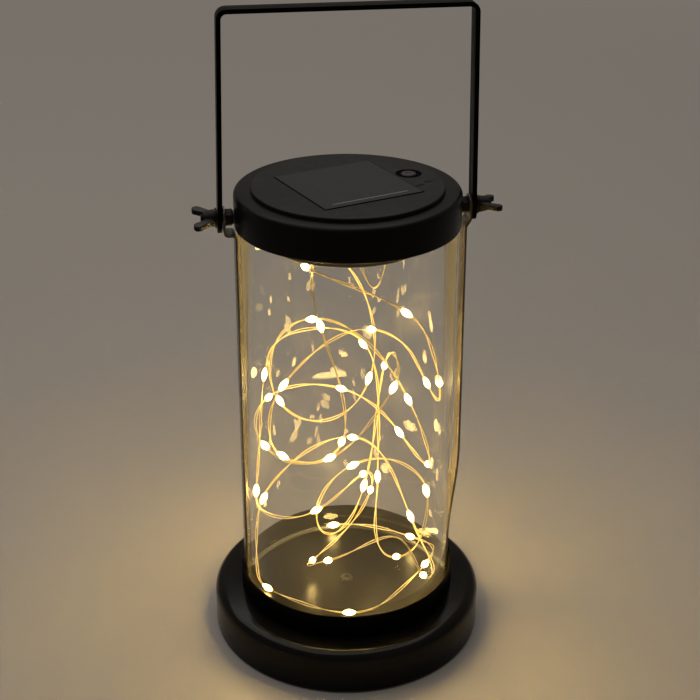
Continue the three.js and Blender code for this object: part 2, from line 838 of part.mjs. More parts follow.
function stringPoint(share) {
  const loose = THREE.MathUtils.smoothstep(1 - share, 0, floorLoop.share);
  const looseRadius = loopSize.mean + loopSize.swing * wave(loopSize, share);
  const radius = THREE.MathUtils.lerp(floorLoop.radius, looseRadius, loose);
  const x = drift.reach * loose * Math.sin(2 * Math.PI * drift.xTurns * share + drift.xPhase);
  const y = drift.reach * loose * Math.cos(2 * Math.PI * drift.yTurns * share + drift.yPhase);
  const sunk = sink.from + (sink.to - sink.from) * share ** sink.power;
  const height = sunk + sink.swing * loose * wave(sink, share);
  const z = THREE.MathUtils.lerp(floorLimit + floorLoop.lift * loose, height, loose);
  const lean = loose * (tilt.mean + tilt.swing * wave(tilt, share));
  const toward = 2 * Math.PI * heading.turns * share + heading.phase;
  const turn = 2 * Math.PI * stringLoops * share;
  const across = radius * Math.cos(turn);
  const aside = radius * Math.sin(turn);
  const point = new THREE.Vector3(
    x + across * Math.cos(lean) * Math.cos(toward) - aside * Math.sin(toward),
    y + across * Math.cos(lean) * Math.sin(toward) + aside * Math.cos(toward),
    z - across * Math.sin(lean),
  );
  const fromAxis = Math.hypot(point.x, point.y);
  const inside = easedUnder(fromAxis, wallLimit, wallEase) / fromAxis;
  point.x *= inside;
  point.y *= inside;
  if (point.z < floorLimit + floorEase) {
    point.z = floorLimit + floorEase * Math.exp((point.z - floorLimit - floorEase) / floorEase);
  }
  point.z = easedUnder(point.z, topLimit, topEase);
  const lead = leadTop.clone();
  lead.z -= stringDrop * stringLoops * share;
  return lead.lerp(point, THREE.MathUtils.smoothstep(share * stringLoops, 0, stringStart));
}

// Rings of the tube: one at each step, and four more round each bead
function stringRings() {
  const points = [];
  for (let i = 0; i <= stringSteps; i += 1) {
    points.push(stringPoint(i / (stringLoops * stepsPerLoop)));
  }
  const rings = [];
  points.forEach((point, i) => {
    const before = points[Math.max(i - 1, 0)];
    const after = points[Math.min(i + 1, stringSteps)];
    rings.push({ at: point, along: after.clone().sub(before).normalize(), radius: wireRadius });
    const step = after.distanceTo(point);
    if (i >= firstBead && (i - firstBead) % stepsPerBead === 0 && step > leastBeadStep) {
      const middle = point.clone().lerp(after, 0.5);
      const along = after.clone().sub(point).normalize();
      const beadShape = [
        [-beadHalfLength, wireRadius],
        [-beadHalfCore, beadRadius],
        [beadHalfCore, beadRadius],
        [beadHalfLength, wireRadius],
      ];
      for (const [offset, radius] of beadShape) {
        rings.push({ at: middle.clone().addScaledVector(along, offset), along, radius });
      }
    }
  });
  return rings;
}

// One unbroken tube through the rings, turned from ring to ring without twist, with closed ends
function tubeThrough(rings) {
  const positions = [];
  const index = [];
  let side = new THREE.Vector3(1, 0, 0);
  let along = rings[0].along;
  rings.forEach((ring, k) => {
    side.applyQuaternion(new THREE.Quaternion().setFromUnitVectors(along, ring.along));
    along = ring.along;
    side = side.addScaledVector(along, -side.dot(along)).normalize();
    const other = along.clone().cross(side);
    for (let j = 0; j < wireSides; j += 1) {
      const angle = (2 * Math.PI * j) / wireSides;
      const corner = ring.at.clone();
      corner.addScaledVector(side, ring.radius * Math.cos(angle));
      corner.addScaledVector(other, ring.radius * Math.sin(angle));
      positions.push(corner.x, corner.y, corner.z);
      if (k > 0) {
        const a = (k - 1) * wireSides + j;
        const b = (k - 1) * wireSides + ((j + 1) % wireSides);
        index.push(a, b, b + wireSides, a, b + wireSides, a + wireSides);
      }
    }
  });
  const last = (rings.length - 1) * wireSides;
  for (let j = 1; j < wireSides - 1; j += 1) {
    index.push(0, j + 1, j, last, last + j, last + j + 1);
  }
  const tube = new THREE.BufferGeometry();
  tube.setAttribute('position', new THREE.BufferAttribute(new Float32Array(positions), 3));
  tube.setIndex(new THREE.BufferAttribute(new Uint32Array(index), 1));
  return tube;
}

// The least gap between two stretches of the string, measured on points along it, and its length
function measureString(rings) {
  const samples = [];
  let length = 0;
  for (let k = 1; k < rings.length; k += 1) {
    const step = rings[k].at.distanceTo(rings[k - 1].at);
    const parts = Math.ceil(step);
    for (let i = 0; i < parts; i += 1) {
      const share = i / parts;
      samples.push({
        at: rings[k - 1].at.clone().lerp(rings[k].at, share),
        radius: THREE.MathUtils.lerp(rings[k - 1].radius, rings[k].radius, share),
        way: length + step * share,
      });
    }
    length += step;
  }
  let gap = Infinity;
  samples.forEach((a, i) => {
    for (let j = i + 1; j < samples.length; j += 1) {
      const b = samples[j];
      if (b.way - a.way > 4 * beadHalfLength) {
        gap = Math.min(gap, a.at.distanceTo(b.at) - a.radius - b.radius);
      }
    }
  });
  return { gap, length };
}

const rings = stringRings();
const measured = measureString(rings);
console.log(`light string: ${measured.length.toFixed(0)} mm long, least gap ${measured.gap.toFixed(2)} mm`);
place('light_string', tubeThrough(rings), copperWire());

export default lantern;
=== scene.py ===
"""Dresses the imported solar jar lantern: finishes, finer meshes, the lit string, the light and the camera."""

import logging
import math
from dataclasses import dataclass
from enum import Enum

import bmesh
import bpy
from bmesh.types import BMEdge, BMesh, BMVert
from bpy.types import Material, Mesh, Node, NodeSocket as Socket, Object
from mathutils import Matrix, Vector


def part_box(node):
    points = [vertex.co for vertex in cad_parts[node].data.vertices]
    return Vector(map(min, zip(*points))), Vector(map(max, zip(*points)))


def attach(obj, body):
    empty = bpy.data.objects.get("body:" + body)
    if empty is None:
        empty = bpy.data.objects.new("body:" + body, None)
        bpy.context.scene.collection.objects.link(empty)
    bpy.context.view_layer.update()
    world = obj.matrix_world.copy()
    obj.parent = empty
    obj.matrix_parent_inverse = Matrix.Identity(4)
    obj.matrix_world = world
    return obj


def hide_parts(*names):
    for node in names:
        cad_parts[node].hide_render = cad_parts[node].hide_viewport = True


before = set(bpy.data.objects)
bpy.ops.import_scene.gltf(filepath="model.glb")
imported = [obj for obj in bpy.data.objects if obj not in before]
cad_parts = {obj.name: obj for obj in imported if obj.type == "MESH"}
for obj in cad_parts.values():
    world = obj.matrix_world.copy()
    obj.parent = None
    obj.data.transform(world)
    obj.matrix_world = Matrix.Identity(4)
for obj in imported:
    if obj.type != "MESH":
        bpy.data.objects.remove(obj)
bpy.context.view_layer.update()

log = logging.getLogger("lantern")
MM = 0.001
FIXED = "lantern_body"
MODULE_TURN = math.radians(19.6)
MODULE_PLACE = Matrix.Rotation(MODULE_TURN, 4, "Z")
# Facets round the axis, of wide pieces and of small ones
FINE_STEPS = 160
SMALL_STEPS = 48
# Degrees: the step in a fillet, the bend that counts as flat, and where smooth shading breaks
FILLET_STEP = 12
FLAT_BEND = 1.0
CRISP_BREAK = 20.0
BAR_BREAK = 28.0
PLAIN_BREAK = 32.0
ROUND_BREAK = 60.0
# Distances within which points are merged
CAD_WELD = 1e-6
WELD = 1e-7
# The middle of a noise value's range
NOISE_MIDDLE = (0.3, 0.7)
# A colour, a point, or a section's corner as radius, height and fillet
Triple = tuple[float, float, float]
Section = list[Triple]


class Side(Enum):
    """The two ends of the pivot line, with the word that the CAD nodes have for each."""

    RIGHT = "right"
    LEFT = "left"


# Shader building


class Nodes:
    """A node tree under construction, with short calls for nodes and links."""

    def __init__(self, tree: bpy.types.NodeTree) -> None:
        """Takes the tree that gets the nodes."""
        self.tree = tree

    def node(self, kind: str, **settings: object) -> Node:
        """Adds a node.

        Args:
            kind: The node's type name without its ShaderNode start.
            **settings: Attributes of the node.

        Returns:
            The new node.
        """
        made = self.tree.nodes.new("ShaderNode" + kind)
        for key, value in settings.items():
            setattr(made, key, value)
        return made

    def give(self, value: object, target: Socket) -> None:
        """Joins a socket to an input, or puts a plain value there."""
        if isinstance(value, Socket):
            self.tree.links.new(value, target)
        else:
            target.default_value = value

    def fill(self, node: Node, **inputs: object) -> bpy.types.bpy_prop_collection:
        """Gives a node's inputs sockets or plain values.

        Args:
            node: The node.
            **inputs: Input names with underscores for spaces, and what they get.

        Returns:
            The node's outputs.
        """
        for key, value in inputs.items():
            self.give(value, node.inputs[key.replace("_", " ")])
        return node.outputs

    def calculate(self, operation: str, *values: object) -> Socket:
        """The result of a sum on sockets or plain values."""
        node = self.node("Math", operation=operation)
        for value, target in zip(values, node.inputs):
            self.give(value, target)
        return node.outputs["Value"]

    def fade(self, share: object, first: Socket, second: Socket) -> Socket:
        """A surface that goes over from one to another by a share from 0 to 1."""
        mix = self.node("MixShader")
        for value, target in zip((share, first, second), mix.inputs):
            self.give(value, target)
        return mix.outputs["Shader"]

    def blend(self, value: Socket, low: Triple | Socket, high: Triple) -> Socket:
        """A colour between two colours, chosen by a value from 0 to 1."""
        mix = self.node("Mix", data_type="RGBA")
        start = low if isinstance(low, Socket) else (*low, 1.0)
        return self.fill(mix, A=start, B=(*high, 1.0), Factor=value)["Result"]

    def place(self, turn: float = 0.0, scale: Triple = (1.0, 1.0, 1.0)) -> Socket:
        """Object coordinates, turned about Z by radians and scaled."""
        coordinates = self.node("TexCoord").outputs["Object"]
        return self.fill(self.node("Mapping"), Rotation=(0.0, 0.0, turn), Scale=scale, Vector=coordinates)["Vector"]

    def noise(self, vector: Socket, scale: float, detail: float = 3.0) -> Socket:
        """A noise value of one scale, in cells per metre."""
        return self.fill(self.node("TexNoise"), Scale=scale, Detail=detail, Vector=vector)["Fac"]

    def ranged(self, value: Socket, start: float, end: float, low: float, high: float, **settings: str) -> Socket:
        """A value moved from the range start to end into the range low to high."""
        node = self.node("MapRange", **settings)
        return self.fill(node, Value=value, From_Min=start, From_Max=end, To_Min=low, To_Max=high)["Result"]

    def spread(self, value: Socket, low: float = 0.0, high: float = 1.0) -> Socket:
        """The middle of a noise value's range, widened to run from low to high."""
        return self.ranged(value, *NOISE_MIDDLE, low, high)

    def bump(self, height: Socket, strength: float, distance: float) -> Socket:
        """A surface normal from a height."""
        return self.fill(self.node("Bump"), Strength=strength, Distance=distance, Height=height)["Normal"]

    def principled(self, **inputs: object) -> Socket:
        """The main shader with sockets or plain values on its inputs, named as in fill."""
        return self.fill(self.node("BsdfPrincipled"), **inputs)["BSDF"]


class Shader(Nodes):
    """A material under construction."""

    def __init__(self, name: str) -> None:
        """Starts an empty material.

        Args:
            name: The material's name.
        """
        self.material = bpy.data.materials.new(name)
        self.material.use_nodes = True
        super().__init__(self.material.node_tree)
        self.tree.nodes.clear()
        self.output = self.node("OutputMaterial")

    def surface(self, socket: Socket) -> Material:
        """Ends the material with this surface and returns it."""
        self.fill(self.output, Surface=socket)
        return self.material


class Finish:
    """A finish whose material is made once and shared."""

    name: str
    made: dict[str, Material] = {}

    def material(self) -> Material:
        """The finish's material, made on first use."""
        key = repr(self)
        if key not in Finish.made:
            shader = Shader(self.name)
            Finish.made[key] = shader.surface(self.surface(shader))
        return Finish.made[key]

    def surface(self, shader: Shader) -> Socket:
        """Makes the surface in the material under construction; each finish has its own way."""
        raise NotImplementedError


@dataclass(frozen=True)
class TexturedFinish(Finish):
    """A paint, plastic or rubber with a fine grain, uneven gloss and slow colour drift.

    Attributes:
        name: The material's name.
        dark: The darkest colour of the drift.
        light: The lightest colour of the drift.
        rough: The least and the greatest roughness.
        grain: The grain's cells per metre.
        grain_depth: The grain's depth in metres.
        specular: How strongly it mirrors.
        metallic: How much of a metal it is.
    """

    name: str
    dark: Triple
    light: Triple
    rough: tuple[float, float]
    grain: float
    grain_depth: float
    specular: float = 0.5
    metallic: float = 0.0
    drift_scale: float = 45.0
    patch_scale: float = 160.0
    grain_strength: float = 0.6

    def surface(self, shader: Shader) -> Socket:
        """Grain in the bump, drift in the colour and patches in the roughness."""
        place = shader.place()
        drift = shader.spread(shader.noise(place, self.drift_scale))
        grain = shader.noise(place, self.grain, 2.0)
        return shader.principled(
            Base_Color=shader.blend(drift, self.dark, self.light),
            Metallic=self.metallic,
            Specular_IOR_Level=self.specular,
            Roughness=shader.spread(shader.noise(place, self.patch_scale), *self.rough),
            Normal=shader.bump(grain, self.grain_strength, self.grain_depth),
        )


@dataclass(frozen=True)
class WornMetal(Finish):
    """Plated or bare metal with fine rubbed streaks."""

    name: str
    dark: Triple
    light: Triple
    roughness: float
    streaks: Triple = (300.0, 300.0, 40.0)
    metallic: float = 1.0
    streak_scale: float = 8.0
    gloss_scale: float = 4.0
    gloss_range: float = 0.15
    streak_strength: float = 0.3
    streak_depth: float = 0.00002

    def surface(self, shader: Shader) -> Socket:
        """Streaked colour and gloss over a metal."""
        place = shader.place(scale=self.streaks)
        streak = shader.spread(shader.noise(place, self.streak_scale))
        gloss = shader.noise(place, self.gloss_scale)
        return shader.principled(
            Base_Color=shader.blend(streak, self.dark, self.light),
            Metallic=self.metallic,
            Roughness=shader.spread(gloss, self.roughness, self.roughness + self.gloss_range),
            Normal=shader.bump(streak, self.streak_strength, self.streak_depth),
        )


@dataclass(frozen=True)
class ClearGlass(Finish):
    """Clear drawn tube glass; light from the lamps passes it without being bent."""

    name: str = "clear_glass"
    tint: Triple = (0.985, 0.99, 0.985)
    ior: float = 1.42
    haze: float = 0.004
    stretch: Triple = (1.0, 1.0, 0.25)
    draw_scale: float = 60.0
    draw_strength: float = 0.05
    draw_depth: float = 0.00004

    def surface(self, shader: Shader) -> Socket:
        """Bending glass with a film of haze for what is seen, plain clearness for shadow and diffuse rays."""
        drawn = shader.noise(shader.place(scale=self.stretch), self.draw_scale, 1.0)
        glass = shader.principled(
            Base_Color=(*self.tint, 1.0),
            Roughness=0.0,
            IOR=self.ior,
            Transmission_Weight=1.0,
            Normal=shader.bump(drawn, self.draw_strength, self.draw_depth),
        )
        film = shader.node("BsdfTranslucent").outputs["BSDF"]
        clear = shader.fill(shader.node("BsdfTransparent"), Color=(*self.tint, 1.0))["BSDF"]
        path = shader.node("LightPath").outputs
        unbent = shader.calculate("MAXIMUM", path["Is Shadow Ray"], path["Is Diffuse Ray"])
        return shader.fade(unbent, shader.fade(self.haze, glass, film), clear)


@dataclass(frozen=True)
class SolarCells(Finish):
    """The panel's dark cells under clear resin, with fine collector lines and one pale stripe near its front edge."""

    name: str = "solar_cells"
    cell: Triple = (0.006, 0.0062, 0.006)
    line: Triple = (0.02, 0.02, 0.018)
    pale_stripe: Triple = (0.34, 0.33, 0.3)
    line_pitch: float = 1.6 * MM
    line_share: float = 0.12
    cell_pitch: float = 12.35 * MM
    gap_share: float = 0.035
    pale_stripe_place: float = -20.5 * MM
    pale_stripe_half_width: float = 0.17 * MM
    pale_stripe_half_length: float = 18.8 * MM
    face_half: float = 24.3 * MM
    roughness: float = 0.42
    specular: float = 0.18
    resin_scale: float = 300.0
    resin_strength: float = 0.2
    resin_depth: float = 0.00004

    def stripe(self, shader: Shader, along: Socket, pitch: float, share: float) -> Socket:
        """1 on thin stripes across a direction, 0 between them.

        Args:
            shader: The material under construction.
            along: The coordinate across the stripes, in metres.
            pitch: The distance between stripes.
            share: The part of the pitch that a stripe covers.

        Returns:
            The stripe value.
        """
        part = shader.calculate("FRACT", shader.calculate("DIVIDE", along, pitch))
        return shader.calculate("LESS_THAN", part, share)

    def surface(self, shader: Shader) -> Socket:
        """Lines and the pale stripe in the colour, a gloss that ends at the face's edge."""
        split = shader.fill(shader.node("SeparateXYZ"), Vector=shader.place(turn=-MODULE_TURN))
        across, along = split["X"], split["Y"]
        fine = self.stripe(shader, along, self.line_pitch, self.line_share)
        coarse = self.stripe(shader, across, self.cell_pitch, self.gap_share)
        ground = shader.blend(shader.calculate("MAXIMUM", fine, coarse), self.cell, self.line)
        pale_stripe = shader.calculate(
            "MULTIPLY",
            shader.calculate("COMPARE", along, self.pale_stripe_place, self.pale_stripe_half_width),
            shader.calculate("COMPARE", across, 0.0, self.pale_stripe_half_length),
        )
        face = shader.calculate(
            "MULTIPLY",
            shader.calculate("COMPARE", along, 0.0, self.face_half),
            shader.calculate("COMPARE", across, 0.0, self.face_half),
        )
        resin = shader.noise(shader.place(), self.resin_scale)
        return shader.principled(
            Base_Color=shader.blend(pale_stripe, ground, self.pale_stripe),
            Roughness=self.roughness,
            Specular_IOR_Level=shader.calculate("MULTIPLY", face, self.specular),
            Normal=shader.bump(resin, self.resin_strength, self.resin_depth),
        )


@dataclass(frozen=True)
class LitResin(Finish):
    """A lit lamp drop: white hot in the middle and amber where it thins out to the wire."""

    name: str = "lit_resin"
    resin: Triple = (0.9, 0.75, 0.5)
    hot: Triple = (1.0, 0.67, 0.2)
    amber: Triple = (1.0, 0.6, 0.18)
    hot_strength: float = 300.0
    amber_strength: float = 2.2
    roughness: float = 0.15

    def surface(self, shader: Shader) -> Socket:
        """Light from the drop's own glow attribute, which is 1 at its middle."""
        glow = shader.node("Attribute", attribute_name="glow").outputs["Fac"]
        return shader.principled(
            Base_Color=(*self.resin, 1.0),
            Roughness=self.roughness,
            Emission_Color=shader.blend(glow, self.amber, self.hot),
            Emission_Strength=shader.ranged(glow, 0.0, 1.0, self.amber_strength, self.hot_strength),
        )


def textured(name: str, dark: Triple, light: Triple, *rest: object) -> TexturedFinish:
    """A textured finish whose colours are given in thousandths; the rest is as in TexturedFinish."""
    return TexturedFinish(name, *(tuple(part / 1000 for part in colour) for colour in (dark, light)), *rest)


SATIN_BLACK = textured("satin_black", (3.5, 3.5, 3.2), (5.0, 4.8, 4.4), (0.28, 0.35), 1400.0, 0.00002, 0.075)
FOOT_BLACK = textured("foot_black", (1.8, 1.8, 1.6), (2.7, 2.6, 2.3), (0.13, 0.17), 1400.0, 0.00001, 0.135)
DULL_BLACK = textured("dull_black", (1.2, 1.0, 0.8), (1.8, 1.5, 1.2), (0.3, 0.38), 1400.0, 0.00002, 0.022)
STRAP_BLACK = textured("strap_black", (22.0, 18.5, 12.5), (33.0, 27.0, 17.5), (0.2, 0.28), 900.0, 0.00002, 0.45)
MODULE_PLASTIC = textured("module_plastic", (5.0, 5.0, 4.6), (7.5, 7.3, 6.6), (0.38, 0.48), 1100.0, 0.00006, 0.11)
BLACK_HARDWARE = textured("black_hardware", (3.0, 3.0, 2.8), (7.0, 6.5, 5.6), (0.28, 0.45), 900.0, 0.00004, 0.13, 0.1)
SOFT_RUBBER = textured("soft_rubber", (8.0,) * 3, (14.0,) * 3, (0.7, 0.85), 1500.0, 0.00003)
BUTTON_RUBBER = textured("button_rubber", (9.0,) * 3, (14.0,) * 3, (0.5, 0.6), 1500.0, 0.00003, 0.3)
# Painted shade: the button's ring gets this near-black, almost glossless finish so that it reads as the shade in a
# deep recess; the words ON and OFF use it as their print colour.
PAINTED_SHADE_AND_PRINT_BLACK = textured("painted_shade_and_print_black", (0.8,) * 3, (1.5,) * 3, (0.55, 0.65), 1200.0, 0.00003, 0.012)
BOARD = textured("board_laminate", (10.0, 90.0, 35.0), (20.0, 130.0, 50.0), (0.35, 0.5), 900.0, 0.00003)
CELL_SLEEVE = textured("cell_sleeve", (30.0, 200.0, 70.0), (50.0, 260.0, 100.0), (0.25, 0.35), 500.0, 0.00002)
ZINC = WornMetal("zinc_steel", (0.42, 0.42, 0.40), (0.62, 0.62, 0.60), 0.25)
COPPER = WornMetal("copper_wire", (0.7, 0.57, 0.27), (0.86, 0.74, 0.42), 0.34, (60.0, 60.0, 60.0), 0.55)
GLASS = ClearGlass()
CELLS = SolarCells()
RESIN = LitResin()


# Mesh building


def round_corners(corners: Section, closed: bool) -> list[Vector]:
    """Rounds the corners of an outline.

    Args:
        corners: The corners as radius, height and the fillet's radius.
        closed: Whether the last corner joins the first.

    Returns:
        The outline's points in the XZ plane.
    """
    points: list[Vector] = []
    places = [Vector((x, 0.0, z)) for x, z, _ in corners]
    last = len(corners) - 1
    for i, (corner, (_, _, fillet)) in enumerate(zip(places, corners)):
        if fillet <= 0.0 or (not closed and i in (0, last)):
            points.append(corner)
            continue
        back, ahead = places[i - 1] - corner, places[0 if i == last else i + 1] - corner
        half = back.angle(ahead) / 2
        reach = fillet / math.tan(half)
        back.normalize()
        ahead.normalize()
        start, end = corner + back * reach, corner + ahead * reach
        middle = corner + (back + ahead).normalized() * (fillet / math.sin(half))
        sweep = (start - middle).rotation_difference(end - middle)
        steps = max(2, round(math.degrees(sweep.angle) / FILLET_STEP))
        for k in range(steps + 1):
            turn = Matrix.Rotation(sweep.angle * k / steps, 3, sweep.axis)
            points.append(middle + turn @ (start - middle))
    return points


def spun(corners: Section, steps: int = 128, closed: bool = False) -> BMesh:
    """A solid turned about Z.

    Args:
        corners: The section's corners as radius, height and fillet, in metres.
        steps: The facets round the axis.
        closed: Whether the section is a ring that closes on itself.

    Returns:
        The turned mesh, closed and facing outwards.
    """
    bm = bmesh.new()
    points = round_corners(corners, closed)
    verts = [bm.verts.new(point) for point in points]
    pairs = zip(verts, verts[1:] + verts[:1]) if closed else zip(verts, verts[1:])
    edges = [bm.edges.new(pair) for pair in pairs]
    bmesh.ops.spin(
        bm,
        geom=verts + edges,
        cent=(0.0, 0.0, 0.0),
        axis=(0.0, 0.0, 1.0),
        angle=2 * math.pi,
        steps=steps,
        use_merge=True,
    )
    bmesh.ops.remove_doubles(bm, verts=bm.verts, dist=WELD)
    bmesh.ops.recalc_face_normals(bm, faces=bm.faces)
    return bm


def four_corners(inner: float, outer: float, low: float, high: float, *rounds: float) -> Section:
    """A section with four corners, for a ring, or for a disc where its inner radius is 0.

    Args:
        inner: The inner radius.
        outer: The outer radius.
        low: The lower height.
        high: The upper height.
        *rounds: The fillets, inner low, outer low, outer high and inner high, or one for all four.

    Returns:
        The corners.
    """
    a, b, c, d = rounds if len(rounds) > 1 else rounds * 4
    return [(inner, low, a), (outer, low, b), (outer, high, c), (inner, high, d)]


def pressed(node: str, sheet: float, hole: float, bend: float, lips: tuple[float, float]) -> BMesh:
    """A cap pressed from sheet, with a round hole in its top.

    Args:
        node: The CAD node that gives its size.
        sheet: The sheet's thickness.
        hole: The hole's radius.
        bend: The outer radius of the bend between the top and the skirt.
        lips: The fillets of the skirt's end, inside and outside.

    Returns:
        The cap's mesh.
    """
    r, low, high = drum(node)
    bore = r - sheet
    corners = [
        (bore, low, lips[0]), (r, low, lips[1]), (r, high, bend), (hole, high, 0.0), (hole, high - sheet, 0.0),
        (bore, high - sheet, bend - sheet),
    ]
    return spun(corners, FINE_STEPS, True)


def block(side: float, low: float, high: float) -> BMesh:
    """A square block on the Z axis, between two heights."""
    bm = bmesh.new()
    bmesh.ops.create_cube(bm, size=1.0)
    bmesh.ops.scale(bm, vec=(side, side, high - low), verts=bm.verts)
    bmesh.ops.translate(bm, vec=(0.0, 0.0, (high + low) / 2), verts=bm.verts)
    return bm


def bevel(bm: BMesh, edges: list[BMEdge], width: float, steps: int, clamp: bool = False) -> None:
    """Softens edges over a width, in some steps; clamp keeps neighbours from crossing."""
    bmesh.ops.bevel(
        bm,
        geom=edges,
        offset=width,
        offset_type="OFFSET",
        affect="EDGES",
        segments=steps,
        profile=0.5,
        material=-1,
        clamp_overlap=clamp,
    )


def cad_mesh(node: str) -> BMesh:
    """A merged copy of a CAD node's mesh."""
    bm = bmesh.new()
    bm.from_mesh(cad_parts[node].data)
    bmesh.ops.remove_doubles(bm, verts=bm.verts, dist=CAD_WELD)
    return bm


def node_copy(node: str, edge: float, steps: int = 3, angle: float = 28.0) -> BMesh:
    """A merged copy of a CAD node with softened edges.

    Args:
        node: The CAD node's name.
        edge: The width of the softened edges.
        steps: The steps across a softened edge.
        angle: The least angle of an edge that is softened, in degrees.

    Returns:
        The copy's mesh.
    """
    bm = cad_mesh(node)
    bmesh.ops.dissolve_limit(
        bm,
        angle_limit=math.radians(FLAT_BEND),
        verts=list(bm.verts),
        edges=list(bm.edges),
        use_dissolve_boundaries=False,
    )
    sharp = [e for e in bm.edges if e.is_manifold and e.calc_face_angle(0.0) > math.radians(angle)]
    bevel(bm, sharp, edge, steps, True)
    return bm


def mesh_of(name: str, bm: BMesh) -> Mesh:
    """Makes a named mesh of one under construction, which is freed."""
    mesh = bpy.data.meshes.new(name)
    bm.to_mesh(mesh)
    bm.free()
    return mesh


def put(name: str, data: bpy.types.ID) -> Object:
    """Makes an object of some data and puts it into the scene."""
    made = bpy.data.objects.new(name, data)
    bpy.context.scene.collection.objects.link(made)
    return made


def evaluated(piece: Object) -> Mesh:
    """The mesh of an object with its modifiers, or of a curve or a text."""
    graph = bpy.context.evaluated_depsgraph_get()
    graph.update()
    return bpy.data.meshes.new_from_object(piece.evaluated_get(graph), depsgraph=graph)


def apply_modifiers(piece: Object) -> None:
    """Puts a piece's modifiers into its mesh."""
    mesh = evaluated(piece)
    materials = list(piece.data.materials)
    piece.modifiers.clear()
    piece.data = mesh
    mesh.materials.clear()
    for material in materials:
        mesh.materials.append(material)


def mesh_of_curve(curve: bpy.types.Curve) -> BMesh:
    """The mesh that a curve or a text shows."""
    helper = put("helper", curve)
    mesh = evaluated(helper)
    bpy.data.objects.remove(helper)
    bm = bmesh.new()
    bm.from_mesh(mesh)
    bpy.data.meshes.remove(mesh)
    return bm


def shade(mesh: Mesh, angle: float = PLAIN_BREAK) -> None:
    """Smooth shading that breaks at edges sharper than an angle in degrees."""
    mesh.shade_smooth()
    mesh.set_sharp_from_angle(angle=math.radians(angle))


def add_piece(
    name: str,
    bm: BMesh,
    finish: Finish,
    node: str = "",
    body: str = FIXED,
    place: Matrix | None = None,
    smooth: float = PLAIN_BREAK,
) -> Object:
    """Makes a finished piece that rides on a body.

    Args:
        name: The piece's name.
        bm: Its mesh, which is freed here.
        finish: Its finish.
        node: The CAD node that it stands for, or nothing.
        body: The body it rides on.
        place: Where the mesh is put, applied to its points.
        smooth: The angle in degrees where smooth shading breaks.

    Returns:
        The piece's object.
    """
    if place is not None:
        bmesh.ops.transform(bm, matrix=place, verts=bm.verts)
    mesh = mesh_of(name, bm)
    shade(mesh, smooth)
    piece = put(name, mesh)
    mesh.materials.append(finish.material())
    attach(piece, body)
    if node:
        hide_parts(node)
    log.info("%s: %d faces on %s", name, len(mesh.polygons), body)
    return piece


def dress(node: str, finish: Finish) -> None:
    """Gives a CAD node that stays in view a finish."""
    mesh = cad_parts[node].data
    mesh.materials.clear()
    mesh.materials.append(finish.material())
    log.info("%s: kept, %s", node, finish.material().name)


def heights(node: str) -> tuple[float, float]:
    """The lower and the upper height of a CAD node."""
    low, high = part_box(node)
    return low[2], high[2]


def drum(node: str) -> Triple:
    """The radius and the two heights of a round CAD node on the lantern's axis."""
    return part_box(node)[1][0], *heights(node)


def middle_of(node: str) -> Vector:
    """The middle of a CAD node's box."""
    low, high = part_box(node)
    return (Vector(low) + Vector(high)) / 2


def upright(node: str) -> Matrix:
    """Moves a piece that is turned about Z to the middle of a CAD node, at its own height."""
    centre = middle_of(node)
    return Matrix.Translation((centre.x, centre.y, 0.0))


# Sub-assemblies


@dataclass(frozen=True)
class Foot:
    """The pressed foot, the cup on it, the rivet, the bottom plate and the pads."""

    sheet: float = 1.2 * MM
    shoulder: float = 5.0 * MM
    lips: tuple[float, float] = (0.3 * MM, 0.5 * MM)
    hole: float = 1.9 * MM
    rim_round: float = 0.55 * MM
    cup_round: float = 0.2 * MM
    rivet_shank: float = 1.6 * MM
    rivet_tail: float = 2.6 * MM
    rivet_head: float = 3.2 * MM
    rivet_round: float = 0.4 * MM
    tail_height: float = 1.8 * MM
    head_height: float = 1.0 * MM
    dimple: float = 1.2 * MM
    dimple_slope: float = 0.2 * MM
    dimple_floor: float = 0.3 * MM
    plate_round: float = 0.3 * MM
    pads: int = 4
    pad_rounds: tuple[float, float] = (0.4 * MM, 0.1 * MM)

    def cup(self) -> None:
        """The cup that holds the glass, with a rounded rim."""
        r, low, high = drum("base_cup")
        bore = r - self.sheet
        floor = low + self.sheet
        corners = [
            (self.hole, low, 0.0), (r, low, self.cup_round), (r, high, self.rim_round), (bore, high, self.rim_round),
            (bore, floor, self.cup_round), (self.hole, floor, 0.0),
        ]
        add_piece("glass_cup", spun(corners, FINE_STEPS, True), DULL_BLACK, "base_cup")

    def rivet(self) -> None:
        """The rivet through the floor, with its dimpled head."""
        low, high = heights("base_rivet")
        tail = low + self.tail_height
        head = high - self.head_height
        dent = head + self.dimple_floor
        corners = [
            (0.0, low, 0.0), (self.rivet_tail, low, self.rivet_round), (self.rivet_tail, tail, 0.0),
            (self.rivet_shank, tail, 0.0), (self.rivet_shank, head, 0.0), (self.rivet_head, head, 0.0),
            (self.rivet_head - self.rivet_round, high, self.rivet_round), (self.dimple, high, self.dimple_slope),
            (self.dimple - self.dimple_slope, dent, self.dimple_slope / 2), (0.0, dent, 0.0),
        ]
        add_piece("floor_rivet", spun(corners, SMALL_STEPS), BLACK_HARDWARE, "base_rivet")

    def underside(self) -> None:
        """The bottom plate and the pads under it."""
        plate = spun(four_corners(0.0, *drum("base_bottom_plate"), 0.0, self.plate_round, self.plate_round, 0.0))
        add_piece("bottom_plate", plate, SATIN_BLACK, "base_bottom_plate")
        for i in range(1, self.pads + 1):
            node = f"foot_pad_{i}"
            low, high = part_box(node)
            pad = four_corners(0.0, (high[0] - low[0]) / 2, low[2], high[2], 0.0, *self.pad_rounds, 0.0)
            bm = spun(pad, SMALL_STEPS)
            add_piece(f"soft_pad_{i}", bm, SOFT_RUBBER, node, place=upright(node))

    def build(self) -> None:
        """Builds every piece of the foot."""
        shell = pressed("base_foot", self.sheet, self.hole, self.shoulder, self.lips)
        add_piece("foot_shell", shell, FOOT_BLACK, "base_foot")
        self.cup()
        self.rivet()
        self.underside()


